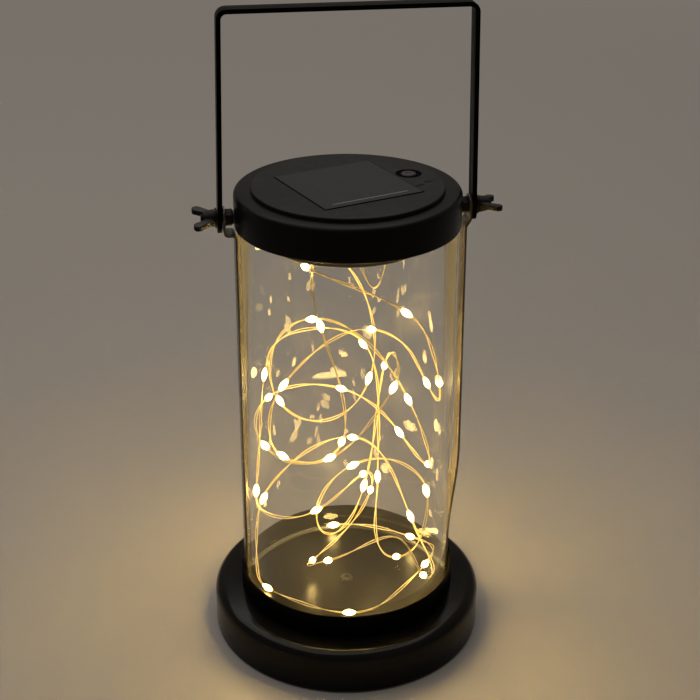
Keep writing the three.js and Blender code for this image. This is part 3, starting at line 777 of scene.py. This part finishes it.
@dataclass(frozen=True)
class Jar:
    """The glass tube and the soft seats at its ends."""

    wall: float = 2.5 * MM
    fire_polish: float = 0.9 * MM
    seat_wall: float = 3.5 * MM
    gasket_wall: float = 2.7 * MM
    soft_round: float = 0.3 * MM
    steps: int = 192

    def build(self) -> None:
        """Builds the tube and its seats, rings with softened edges."""
        for name, node, wall, edge, finish, slot in (
            ("glass_tube", "glass_cylinder", self.wall, self.fire_polish, GLASS, "clear_glass"),
            ("lower_seat", "glass_seat", self.seat_wall, self.soft_round, SOFT_RUBBER, "soft_rubber"),
            ("upper_gasket", "lid_gasket", self.gasket_wall, self.soft_round, SOFT_RUBBER, "soft_rubber"),
        ):
            r, low, high = drum(node)
            add_piece(name, spun(four_corners(r - wall, r, low, high, edge), self.steps, True), finish, node)


@dataclass(frozen=True)
class Lid:
    """The pressed lid."""

    sheet: float = 0.8 * MM
    bend: float = 2.0 * MM
    hole: float = 39.1 * MM
    lips: tuple[float, float] = (0.25 * MM, 0.3 * MM)

    def build(self) -> None:
        """Builds the lid with its soft rounded rim."""
        shell = pressed("lid_cap", self.sheet, self.hole, self.bend, self.lips)
        add_piece("lid_shell", shell, SATIN_BLACK, "lid_cap")


@dataclass(frozen=True)
class SolarModule:
    """The round module in the lid: housing, panel, button, and what is inside."""

    flange: float = 43.5 * MM
    cup: float = 38.8 * MM
    wall: float = 1.5 * MM
    rise: float = 1.8 * MM
    plate: float = 3.8 * MM
    rim_round: float = 0.7 * MM
    skirt_round: float = 0.2 * MM
    recess_half: float = 25.0 * MM
    recess_round: float = 0.7 * MM
    panel_half: float = 24.7 * MM
    panel_bevel: float = 0.3 * MM
    button_at: float = 31.5 * MM
    ring_recess: float = 6.0 * MM
    ring_recess_depth: float = 1.6 * MM
    ring_radius: float = 5.7 * MM
    ring_rounds: tuple[float, ...] = (0.1 * MM, 0.1 * MM, 0.35 * MM, 0.35 * MM)
    ring_steps: int = 96
    button_hole: float = 3.9 * MM
    button_radius: float = 3.6 * MM
    button_collar: float = 4.8 * MM
    button_stem: float = 1.5 * MM
    button_edge: float = 0.2 * MM
    button_crown: float = 0.7 * MM
    button_dish: tuple[float, float] = (1.3 * MM, 0.35 * MM)
    button_steps: int = 72
    collar_gap: float = 0.3 * MM
    collar_height: float = 1.2 * MM
    letter_size: float = 2.3 * MM
    letter_height: float = 0.05 * MM
    on_place: tuple[float, float] = (33.2 * MM, -13.8 * MM)
    off_place: tuple[float, float] = (27.7 * MM, -16.4 * MM)
    hidden_edge: float = 0.15 * MM
    cover_plate: float = 1.6 * MM
    cover_rounds: tuple[float, float] = (0.4 * MM, 0.2 * MM)
    screws: int = 3

    def cutters(self, top: float) -> list[Object]:
        """Hidden helpers for the panel's recess, the ring's recess and the button's hole.

        Args:
            top: The height of the module's upper face.

        Returns:
            The helper objects, in the module's turned place.
        """
        depth = top - heights("solar_panel")[0]
        square = block(2 * self.recess_half, top - depth, top + depth)
        standing = [e for e in square.edges if abs(e.verts[0].co.z - e.verts[1].co.z) > depth]
        bevel(square, standing, self.recess_round, 4)
        above = top + self.plate
        ring = spun(four_corners(0.0, self.ring_recess, top - self.ring_recess_depth, above, 0.0), self.button_steps)
        hole = spun(four_corners(0.0, self.button_hole, top - 2 * self.plate, above, 0.0), SMALL_STEPS)
        for bm in (ring, hole):
            bmesh.ops.translate(bm, vec=(self.button_at, 0.0, 0.0), verts=bm.verts)
        for bm in (square, ring, hole):
            bmesh.ops.transform(bm, matrix=MODULE_PLACE, verts=bm.verts)
        return [put("cutter", mesh_of("cutter", bm)) for bm in (square, ring, hole)]

    def housing(self) -> None:
        """The housing with its cut recesses."""
        low, top = heights("module_housing")
        lid_top = top - self.rise
        bore = self.cup - self.wall
        corners = [
            (bore, low, self.skirt_round), (self.cup, low, self.skirt_round), (self.cup, lid_top, 0.0),
            (self.flange, lid_top, 0.0), (self.flange, top, self.rim_round), (0.0, top, 0.0),
            (0.0, top - self.plate, 0.0), (bore, top - self.plate, 0.5 * MM), (bore, low, 0.0),
        ]
        bm = spun(corners, FINE_STEPS)
        piece = add_piece("module_shell", bm, MODULE_PLASTIC, "module_housing")
        helpers = self.cutters(top)
        for helper in helpers:
            cut = piece.modifiers.new("recess", "BOOLEAN")
            cut.operation = "DIFFERENCE"
            cut.solver = "EXACT"
            cut.object = helper
        apply_modifiers(piece)
        shade(piece.data)
        for helper in helpers:
            bpy.data.objects.remove(helper)

    def panel(self) -> None:
        """The panel, a thin block with a bevelled edge."""
        bm = block(2 * self.panel_half, *heights("solar_panel"))
        bevel(bm, list(bm.edges), self.panel_bevel, 2)
        add_piece("solar_plate", bm, CELLS, "solar_panel", place=MODULE_PLACE, smooth=CRISP_BREAK)

    def button(self) -> None:
        """The button and the ring round it."""
        place = MODULE_PLACE @ Matrix.Translation((self.button_at, 0.0, 0.0))
        low, top = heights("push_button")
        collar = heights("module_housing")[1] - self.plate - self.collar_gap
        under = collar - self.collar_height
        rim, depth = self.button_dish
        dish = top - depth
        edge = self.button_edge
        cap = [
            (0.0, low, 0.0), (self.button_stem, low, 0.3 * MM), (self.button_stem, under, edge),
            (self.button_collar, under, edge), (self.button_collar, collar, edge), (self.button_radius, collar, 0.0),
            (self.button_radius, top - edge / 2, self.button_crown), (rim, top, edge),
            (rim - 2 * edge, dish, 0.75 * edge), (0.0, dish, 0.0),
        ]
        bm = spun(cap, self.button_steps)
        add_piece("button_cap", bm, BUTTON_RUBBER, "push_button", "button", place)
        low, high = heights("button_ring")
        ring = four_corners(self.button_hole, self.ring_radius, low, high, *self.ring_rounds)
        bm = spun(ring, self.ring_steps, True)
        # Painted shade: the ring's own black is darkened further and left almost without gloss, standing in for the
        # shade of a deep recess round the button.
        add_piece("button_surround", bm, PAINTED_SHADE_AND_PRINT_BLACK, "button_ring", place=place)

    def lettering(self) -> None:
        """The words ON and OFF beside the button, thin letters that stand on the housing."""
        top = heights("module_housing")[1]
        for word, (x, y) in (("ON", self.on_place), ("OFF", self.off_place)):
            text = bpy.data.curves.new("word", "FONT")
            text.body = word
            text.size = self.letter_size
            text.align_x = text.align_y = "CENTER"
            text.extrude = self.letter_height
            bm = mesh_of_curve(text)
            bmesh.ops.remove_doubles(bm, verts=bm.verts, dist=WELD)
            bmesh.ops.recalc_face_normals(bm, faces=bm.faces)
            place = MODULE_PLACE @ Matrix.Translation((x, y, top))
            add_piece(f"word_{word.lower()}", bm, PAINTED_SHADE_AND_PRINT_BLACK, place=place)

    def inside(self) -> None:
        """The hidden parts: switch, board, cell, contacts, cover, screws and grommet."""
        for name, node, finish, slot in (
            ("switch_case", "switch_body", MODULE_PLASTIC, "module_plastic"),
            ("control_board", "circuit_board", BOARD, "board_laminate"),
            ("cell_holder", "battery_holder", MODULE_PLASTIC, "module_plastic"),
            ("end_contact", "contact_plate", ZINC, "zinc_steel"),
        ):
            add_piece(name, node_copy(node, self.hidden_edge, 2), finish, node)
        dress("battery_cell", CELL_SLEEVE)
        dress("contact_spring", ZINC)
        low = heights("module_cover")[0]
        cover = four_corners(0.0, self.cup, low, low + self.cover_plate, 0.0, *self.cover_rounds, 0.0)
        add_piece("under_cover", spun(cover), MODULE_PLASTIC, "module_cover")
        for i in range(1, self.screws + 1):
            self.screw(f"cover_screw_{i}", f"pan_screw_{i}")
        self.grommet("lead_grommet")

    def grommet(self, node: str) -> None:
        """The grommet under the cover, a nose, a bead and a neck."""
        low, high = heights(node)
        nose, bead, neck, edge = 1.6 * MM, 4.2 * MM, 2.5 * MM, 0.4 * MM
        step = low + 4.0 * MM
        section = [
            (0.0, low, 0.0), (nose, low, edge), (bead, low + 2.8 * MM, edge), (bead, step, 0.3 * MM),
            (neck, step, 0.0), (neck, high, 0.0), (0.0, high, 0.0),
        ]
        bm = spun(section, SMALL_STEPS)
        add_piece("wire_grommet", bm, SOFT_RUBBER, node, place=upright(node))

    def screw(self, node: str, name: str) -> None:
        """A pan head screw with a cross recess hinted by a dimple."""
        low, high = heights(node)
        shank, head, edge = 1.0 * MM, 2.6 * MM, 0.1 * MM
        dent = low + 0.7 * MM
        seat = low + 1.6 * MM
        section = [
            (0.0, dent, 0.0), (0.8 * MM, dent, edge), (shank, low, edge), (head, low, 0.7 * MM), (head, seat, edge),
            (shank, seat, 0.0), (shank, high, 0.3 * MM), (0.0, high, 0.0),
        ]
        add_piece(name, spun(section, SMALL_STEPS), ZINC, node, place=upright(node))

    def build(self) -> None:
        """Builds every piece of the module."""
        self.housing()
        self.panel()
        self.button()
        self.lettering()
        self.inside()


@dataclass(frozen=True)
class Pivot:
    """The stack on one side: stud, spacer nut, washer and wing nut."""

    side: Side
    stud: float = 1.9 * MM
    weld_head: float = 3.2 * MM
    weld_plate: float = 0.6 * MM
    thread_turns: int = 8
    thread_pitch: float = 0.7 * MM
    thread_depth: float = 0.32 * MM
    thread_steps: int = 40
    washer_bore: float = 2.2 * MM
    washer_rounds: tuple[float, ...] = (0.15 * MM, 0.25 * MM, 0.25 * MM, 0.15 * MM)
    washer_steps: int = 64
    nut_edge: float = 0.35 * MM
    melt: float = 0.22 * MM
    smoothing: int = 6

    def named(self, kind: str) -> str:
        """A name with the side's word at its end."""
        return f"{kind}_{self.side.value}"

    def ends(self, node: str) -> list[float]:
        """How far from the lantern's middle a node starts and ends along the pivot line."""
        return sorted(abs(corner[0]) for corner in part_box(node))

    def lay(self, node: str) -> Matrix:
        """Lays a piece that is turned about Z along the pivot line, outwards on this side."""
        turn = Matrix.Rotation(math.pi / 2, 4, "Y")
        flip = Matrix.Rotation(math.pi, 4, "Z") if self.side is Side.LEFT else Matrix.Identity(4)
        return Matrix.Translation((0.0, 0.0, middle_of(node).z)) @ flip @ turn

    def thread_stud(self) -> None:
        """The weld stud with its thread grooves."""
        node = self.named("pivot_stud")
        inner, outer = self.ends(node)
        weld = inner + self.weld_plate
        groove = self.stud - self.thread_depth
        corners = [(0.0, inner, 0.0), (self.weld_head, inner, 0.0), (self.weld_head, weld, 0.1 * MM)]
        corners.append((self.stud, weld, 0.0))
        at = outer - self.thread_turns * self.thread_pitch
        while at < outer - self.thread_pitch:
            corners += [(self.stud, at, 0.0), (groove, at + self.thread_pitch / 2, 0.0)]
            at += self.thread_pitch
        corners += [(self.stud, at, 0.0), (groove, outer, 0.1 * MM), (0.0, outer, 0.0)]
        name, bm, place = self.named("thread_stud"), spun(corners, self.thread_steps), self.lay(node)
        add_piece(name, bm, BLACK_HARDWARE, node, place=place, smooth=CRISP_BREAK)

    def spacer(self) -> None:
        """The hexagon nut between the lid and the strap."""
        node = self.named("spacer_nut")
        bm = node_copy(node, self.nut_edge)
        add_piece(self.named("hex_spacer"), bm, BLACK_HARDWARE, node)

    def washer(self) -> None:
        """The washer with its softened edges."""
        node = self.named("washer")
        low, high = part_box(node)
        r = (high[2] - low[2]) / 2
        corners = four_corners(self.washer_bore, r, *self.ends(node), *self.washer_rounds)
        bm = spun(corners, self.washer_steps, True)
        add_piece(self.named("flat_washer"), bm, BLACK_HARDWARE, node, node, self.lay(node))

    def wing_nut(self) -> None:
        """The cast wing nut, whose hub and ears melt into each other."""
        node, name = self.named("wing_nut"), self.named("cast_wing")
        piece = add_piece(name, cad_mesh(node), BLACK_HARDWARE, node, self.named("wing"))
        melt = piece.modifiers.new("melt", "REMESH")
        melt.mode = "VOXEL"
        melt.voxel_size = self.melt
        soften = piece.modifiers.new("soften", "SMOOTH")
        soften.factor = 0.5
        soften.iterations = self.smoothing
        apply_modifiers(piece)
        piece.data.shade_smooth()

    def build(self) -> None:
        """Builds the stack."""
        self.thread_stud()
        self.spacer()
        self.washer()
        self.wing_nut()


@dataclass(frozen=True)
class Bars:
    """The flat bars: two straps and the bail."""

    strap_edge: float = 0.2 * MM
    bail_edge: float = 0.3 * MM
    least_angle: float = 40.0

    def build(self) -> None:
        """Builds the straps and the bail from their solids, with softened edges."""
        for side in Side:
            node = f"strap_{side.value}"
            bm = node_copy(node, self.strap_edge, 2, self.least_angle)
            add_piece(f"flat_{node}", bm, STRAP_BLACK, node, smooth=BAR_BREAK)
        bm = node_copy("bail_handle", self.bail_edge, 3, self.least_angle)
        add_piece("bail_bar", bm, DULL_BLACK, "bail_handle", "bail", smooth=BAR_BREAK)


def ease(value: float) -> float:
    """A smooth step from 0 to 1."""
    value = min(max(value, 0.0), 1.0)
    return value * value * (3 - 2 * value)


def eased_under(value: float, limit: float, band: float) -> float:
    """A value bent back so that it nears a limit and never passes it."""
    start = limit - band
    return value if value < start else start + band * math.tanh((value - start) / band)


@dataclass(frozen=True)
class Wave:
    """A sine about a middle value, which makes some turns over the string's way."""

    swing: float
    turns: float
    phase: float
    middle: float = 0.0

    def at(self, share: float) -> float:
        """The value at a share of the way."""
        return self.middle + self.swing * math.sin(2 * math.pi * self.turns * share + self.phase)


@dataclass(frozen=True)
class StringRoute:
    """The way of the light string, as part.mjs has it: lengths in millimetres, phases in radians."""

    loops: int = 13
    steps_per_loop: int = 24
    first_bead: int = 9
    beads: int = 51
    steps_per_bead: int = 6
    least_bead_step: float = 5.0
    radius: Wave = Wave(9.85, 5.81, 2.57, 38.18)
    drift_x: Wave = Wave(21.49, 4.45, 3.99)
    drift_y: Wave = Wave(21.49, 3.25, 5.06 + math.pi / 2)
    sink: Wave = Wave(24.43, 5.19, 4.63)
    sink_from: float = 182.67
    sink_to: float = 32.72
    sink_power: float = 0.89
    tilt: Wave = Wave(0.63, 3.01, 2.78, 0.92)
    heading_turns: float = -4.33
    heading_phase: float = 4.08
    floor_radius: float = 49.26
    floor_lift: float = 11.7
    floor_share: float = 0.16
    start: float = 0.8
    drop: float = 40.0
    wall_limit: float = 44.6
    wall_ease: float = 8.6
    floor_limit: float = 24.75
    floor_ease: float = 7.0
    top_limit: float = 197.0
    top_ease: float = 12.0
    gap: float = 0.3

    def point(self, share: float) -> Vector:
        """A point of the centre line.

        Args:
            share: The share of the way, from 0 at the grommet.

        Returns:
            The point in metres.
        """
        loose = ease((1 - share) / self.floor_share)
        radius = self.radius.at(share) * loose + self.floor_radius * (1 - loose)
        height = self.sink_from + (self.sink_to - self.sink_from) * share**self.sink_power
        height += loose * self.sink.at(share)
        z = height * loose + (self.floor_limit + self.floor_lift * loose) * (1 - loose)
        lean = loose * self.tilt.at(share)
        toward = 2 * math.pi * self.heading_turns * share + self.heading_phase
        turn = 2 * math.pi * self.loops * share
        across, aside = radius * math.cos(turn), radius * math.sin(turn)
        flat = across * math.cos(lean)
        point = Vector((
            loose * self.drift_x.at(share) + flat * math.cos(toward) - aside * math.sin(toward),
            loose * self.drift_y.at(share) + flat * math.sin(toward) + aside * math.cos(toward),
            z - across * math.sin(lean),
        ))
        out = math.hypot(point.x, point.y)
        inside = eased_under(out, self.wall_limit, self.wall_ease) / out
        point.x *= inside
        point.y *= inside
        floor = self.floor_limit + self.floor_ease
        if point.z < floor:
            point.z = floor + self.floor_ease * (math.exp((point.z - floor) / self.floor_ease) - 1)
        point.z = eased_under(point.z, self.top_limit, self.top_ease)
        lead = self.lead_top() - Vector((0.0, 0.0, self.drop * self.loops * share))
        return lead.lerp(point, ease(share * self.loops / self.start)) * MM

    def lead_top(self) -> Vector:
        """The point under the grommet where the wire starts, in millimetres."""
        centre = middle_of("lead_grommet") / MM
        return Vector((centre.x, centre.y, heights("lead_grommet")[0] / MM - self.gap))

    def points(self) -> list[Vector]:
        """The centre line's points, the same as in part.mjs."""
        last = self.first_bead + (self.beads - 1) * self.steps_per_bead + 1
        return [self.point(i / (self.loops * self.steps_per_loop)) for i in range(last + 1)]


def through(points: list[Vector], parts: int) -> list[Vector]:
    """A smooth line through points, with some parts between each two."""
    line: list[Vector] = []
    for i in range(len(points) - 1):
        a, b, c = points[max(i - 1, 0)], points[i], points[i + 1]
        d = points[min(i + 2, len(points) - 1)]
        square = 2 * a - 5 * b + 4 * c - d
        cube = 3 * b - a - 3 * c + d
        for k in range(parts):
            t = k / parts
            line.append(0.5 * (2 * b + (c - a) * t + square * t**2 + cube * t**3))
    line.append(points[-1])
    return line


@dataclass(frozen=True)
class LightString:
    """The string: two thin wires that wind round each other, with lit resin drops on them.

    The wires lie a pinch from the centre line at a drop and a spread from it halfway to the next; twist is the way in
    which they turn once.
    """

    route: StringRoute = StringRoute()
    parts: int = 5
    wire: float = 0.23 * MM
    pinch: float = 0.24 * MM
    spread: float = 0.56 * MM
    twist: float = 52.0 * MM
    cord_width: float = 0.9 * MM
    drop_radius: float = 1.6 * MM
    drop_half: float = 3.1 * MM
    drop_tip: float = 0.5 * MM
    drop_steps: int = 14
    hot_share: float = 2.4

    def apart(self, i: int) -> float:
        """How far a wire runs from the centre line at one of the line's points.

        Args:
            i: The point's number.

        Returns:
            The distance, least at the drops and most halfway between them.
        """
        route = self.route
        share = (i / self.parts - route.first_bead - 0.5) / route.steps_per_bead
        return self.pinch + (self.spread - self.pinch) * math.sin(math.pi * share) ** 2

    def strand(self, line: list[Vector], phase: float) -> BMesh:
        """One of the two wires, wound slowly round the centre line.

        Args:
            line: The centre line.
            phase: Where on its turn the wire starts, in radians.

        Returns:
            The wire's tube.
        """
        curve = bpy.data.curves.new("strand", "CURVE")
        curve.dimensions = "3D"
        curve.bevel_depth = self.wire
        curve.bevel_resolution = 1
        curve.use_fill_caps = True
        spline = curve.splines.new("POLY")
        spline.points.add(len(line) - 1)
        way = 0.0
        side = Vector((1.0, 0.0, 0.0))
        for i, point in enumerate(line):
            before = line[max(i - 1, 0)]
            along = (line[min(i + 1, len(line) - 1)] - before).normalized()
            side = (side - along * side.dot(along)).normalized()
            way += (point - before).length
            turn = Matrix.Rotation(phase + 2 * math.pi * way / self.twist, 3, along)
            spline.points[i].co = (*(point + turn @ side * self.apart(i)), 1.0)
        return mesh_of_curve(curve)

    def wires(self, line: list[Vector]) -> Object:
        """Both wires in one mesh, which is the cord."""
        bm = self.strand(line, 0.0)
        bm.from_mesh(mesh_of("second_strand", self.strand(line, math.pi)))
        return add_piece("string_wires", bm, COPPER, "light_string", smooth=ROUND_BREAK)

    def drop(self) -> BMesh:
        """One resin drop along Z at the origin, with its glow attribute."""
        half = self.drop_half
        shoulder, rise, fillet = 0.8 * self.drop_radius, 0.45 * half, 1.2 * MM
        section = [
            (0.0, -half, 0.0), (self.drop_tip, -half, 0.0), (shoulder, -rise, fillet),
            (self.drop_radius, 0.0, 2.0 * MM), (shoulder, rise, fillet), (self.drop_tip, half, 0.0),
            (0.0, half, 0.0),
        ]
        bm = spun(section, self.drop_steps)
        glow = bm.verts.layers.float.new("glow")
        for vert in bm.verts:
            vert[glow] = ease(self.hot_share * (1 - abs(vert.co.z) / half))
        return bm

    def drops(self, points: list[Vector]) -> Object:
        """Every resin drop in one mesh: copies of the first, each turned along its stretch of wire."""
        bm = self.drop()
        verts = bm.verts[:]
        first = verts + bm.edges[:] + bm.faces[:]
        route = self.route
        for i in range(route.first_bead, len(points) - 1, route.steps_per_bead):
            start, end = points[i], points[i + 1]
            if (end - start).length <= route.least_bead_step * MM:
                continue
            copied = bmesh.ops.duplicate(bm, geom=first)["geom"]
            turn = Vector((0.0, 0.0, 1.0)).rotation_difference(end - start).to_matrix().to_4x4()
            place = Matrix.Translation((start + end) / 2) @ turn
            moved = [item for item in copied if isinstance(item, BMVert)]
            bmesh.ops.transform(bm, matrix=place, verts=moved)
        bmesh.ops.delete(bm, geom=verts, context="VERTS")
        return add_piece("lamp_drops", bm, RESIN, smooth=ROUND_BREAK)

    def build(self) -> None:
        points = self.route.points()
        line = through(points, self.parts)
        wires = self.wires(line)
        drops = self.drops(points)


@dataclass(frozen=True)
class Studio:
    """The camera of the photograph, a pale floor and soft light."""

    distance: float = 590.04 * MM
    height: float = 435.47 * MM
    focal_pixels: float = 1393.43
    frame_pixels: float = 700.0
    sensor: float = 36.0
    clip: float = 0.01
    pitch: float = math.radians(25.908)
    roll: float = math.radians(0.269)
    pan: float = math.radians(0.122)
    pivot_turn: float = math.radians(9.477)
    floor: Triple = (0.29, 0.268, 0.242)
    floor_radius: float = 8.0
    floor_steps: int = 96
    floor_roughness: float = 0.6
    floor_specular: float = 0.2
    backdrop: Triple = (0.19, 0.169, 0.148)
    world: Triple = (0.12, 0.114, 0.106)
    fade_start: float = 0.35
    fade_end: float = 1.9
    lamp_place: Triple = (-0.2, 0.5, 1.9)
    lamp_aim: Triple = (0.0, 0.0, 0.1)
    lamp_size: float = 2.6
    lamp_watts: float = 31.0
    lamp_colour: Triple = (1.0, 0.955, 0.9)
    bounces: int = 40
    gloss_bounces: int = 24
    glass_bounces: int = 32

    def camera(self) -> None:
        """Places the camera by the values fitted to the photograph."""
        ahead = Vector((
            math.sin(self.pan) * math.cos(self.pitch),
            math.cos(self.pan) * math.cos(self.pitch),
            -math.sin(self.pitch),
        ))
        right = ahead.cross(Vector((0.0, 0.0, 1.0))).normalized()
        up = right.cross(ahead)
        turned_right = right * math.cos(self.roll) + up * math.sin(self.roll)
        turned_up = up * math.cos(self.roll) - right * math.sin(self.roll)
        axes = Matrix((turned_right, turned_up, -ahead)).transposed().to_4x4()
        place = Matrix.Translation((0.0, -self.distance, self.height)) @ axes
        data = bpy.data.cameras.new("camera")
        data.sensor_width = self.sensor
        data.lens = self.focal_pixels * self.sensor / self.frame_pixels
        data.clip_start = self.clip
        camera = put("camera", data)
        camera.matrix_world = Matrix.Rotation(-self.pivot_turn, 4, "Z") @ place
        bpy.context.scene.camera = camera

    def seen(self, nodes: Nodes) -> Socket:
        """1 for rays that show the background: from the camera, off gloss and through glass."""
        path = nodes.node("LightPath").outputs
        shown = nodes.calculate("MAXIMUM", path["Is Camera Ray"], path["Is Glossy Ray"])
        return nodes.calculate("MAXIMUM", shown, path["Is Transmission Ray"])

    def ground(self) -> None:
        """The pale floor, a wide disc that goes over into the backdrop far away."""
        bm = bmesh.new()
        bmesh.ops.create_circle(bm, cap_ends=True, radius=self.floor_radius, segments=self.floor_steps)
        mesh = mesh_of("floor", bm)
        ground = put("floor", mesh)
        shader = Shader("floor")
        body = shader.principled(
            Base_Color=(*self.floor, 1.0), Roughness=self.floor_roughness, Specular_IOR_Level=self.floor_specular
        )
        far = shader.fill(shader.node("Emission"), Color=(*self.backdrop, 1.0))["Emission"]
        reach = shader.node("VectorMath", operation="LENGTH")
        shader.give(shader.place(), reach.inputs[0])
        away = reach.outputs["Value"]
        fade = shader.ranged(away, self.fade_start, self.fade_end, 0.0, 1.0, interpolation_type="SMOOTHSTEP")
        share = shader.calculate("MULTIPLY", fade, self.seen(shader))
        mesh.materials.append(shader.surface(shader.fade(share, body, far)))

    def light(self) -> None:
        """The world's even light and the one soft square lamp overhead."""
        world = bpy.data.worlds.new("world")
        bpy.context.scene.world = world
        world.use_nodes = True
        nodes = Nodes(world.node_tree)
        colour = nodes.blend(self.seen(nodes), self.world, self.backdrop)
        nodes.fill(world.node_tree.nodes["Background"], Color=colour)
        data = bpy.data.lights.new("overhead", "AREA")
        data.size = self.lamp_size
        data.energy = self.lamp_watts
        data.color = self.lamp_colour
        toward = Vector(self.lamp_aim) - Vector(self.lamp_place)
        turn = toward.to_track_quat("-Z", "Y").to_matrix().to_4x4()
        put("overhead", data).matrix_world = Matrix.Translation(self.lamp_place) @ turn

    def long_paths(self) -> None:
        """Lets light run on inside the glass wall, which otherwise ends in a grey band near its edges."""
        cycles = bpy.context.scene.cycles
        cycles.max_bounces = self.bounces
        cycles.glossy_bounces = self.gloss_bounces
        cycles.transmission_bounces = self.glass_bounces
        cycles.transparent_max_bounces = self.glass_bounces

    def build(self) -> None:
        """Builds the camera, the floor and the light."""
        self.camera()
        self.ground()
        self.light()
        bpy.context.scene.view_settings.view_transform = "Standard"
        self.long_paths()


def main() -> None:
    """Builds the camera and the string first, then the rest of the lantern."""
    logging.basicConfig(level=logging.INFO, format="%(name)s %(message)s")
    Studio().build()
    LightString().build()
    Foot().build()
    Jar().build()
    Lid().build()
    SolarModule().build()
    for side in Side:
        Pivot(side).build()
    Bars().build()


if __name__ == "__main__":
    main()
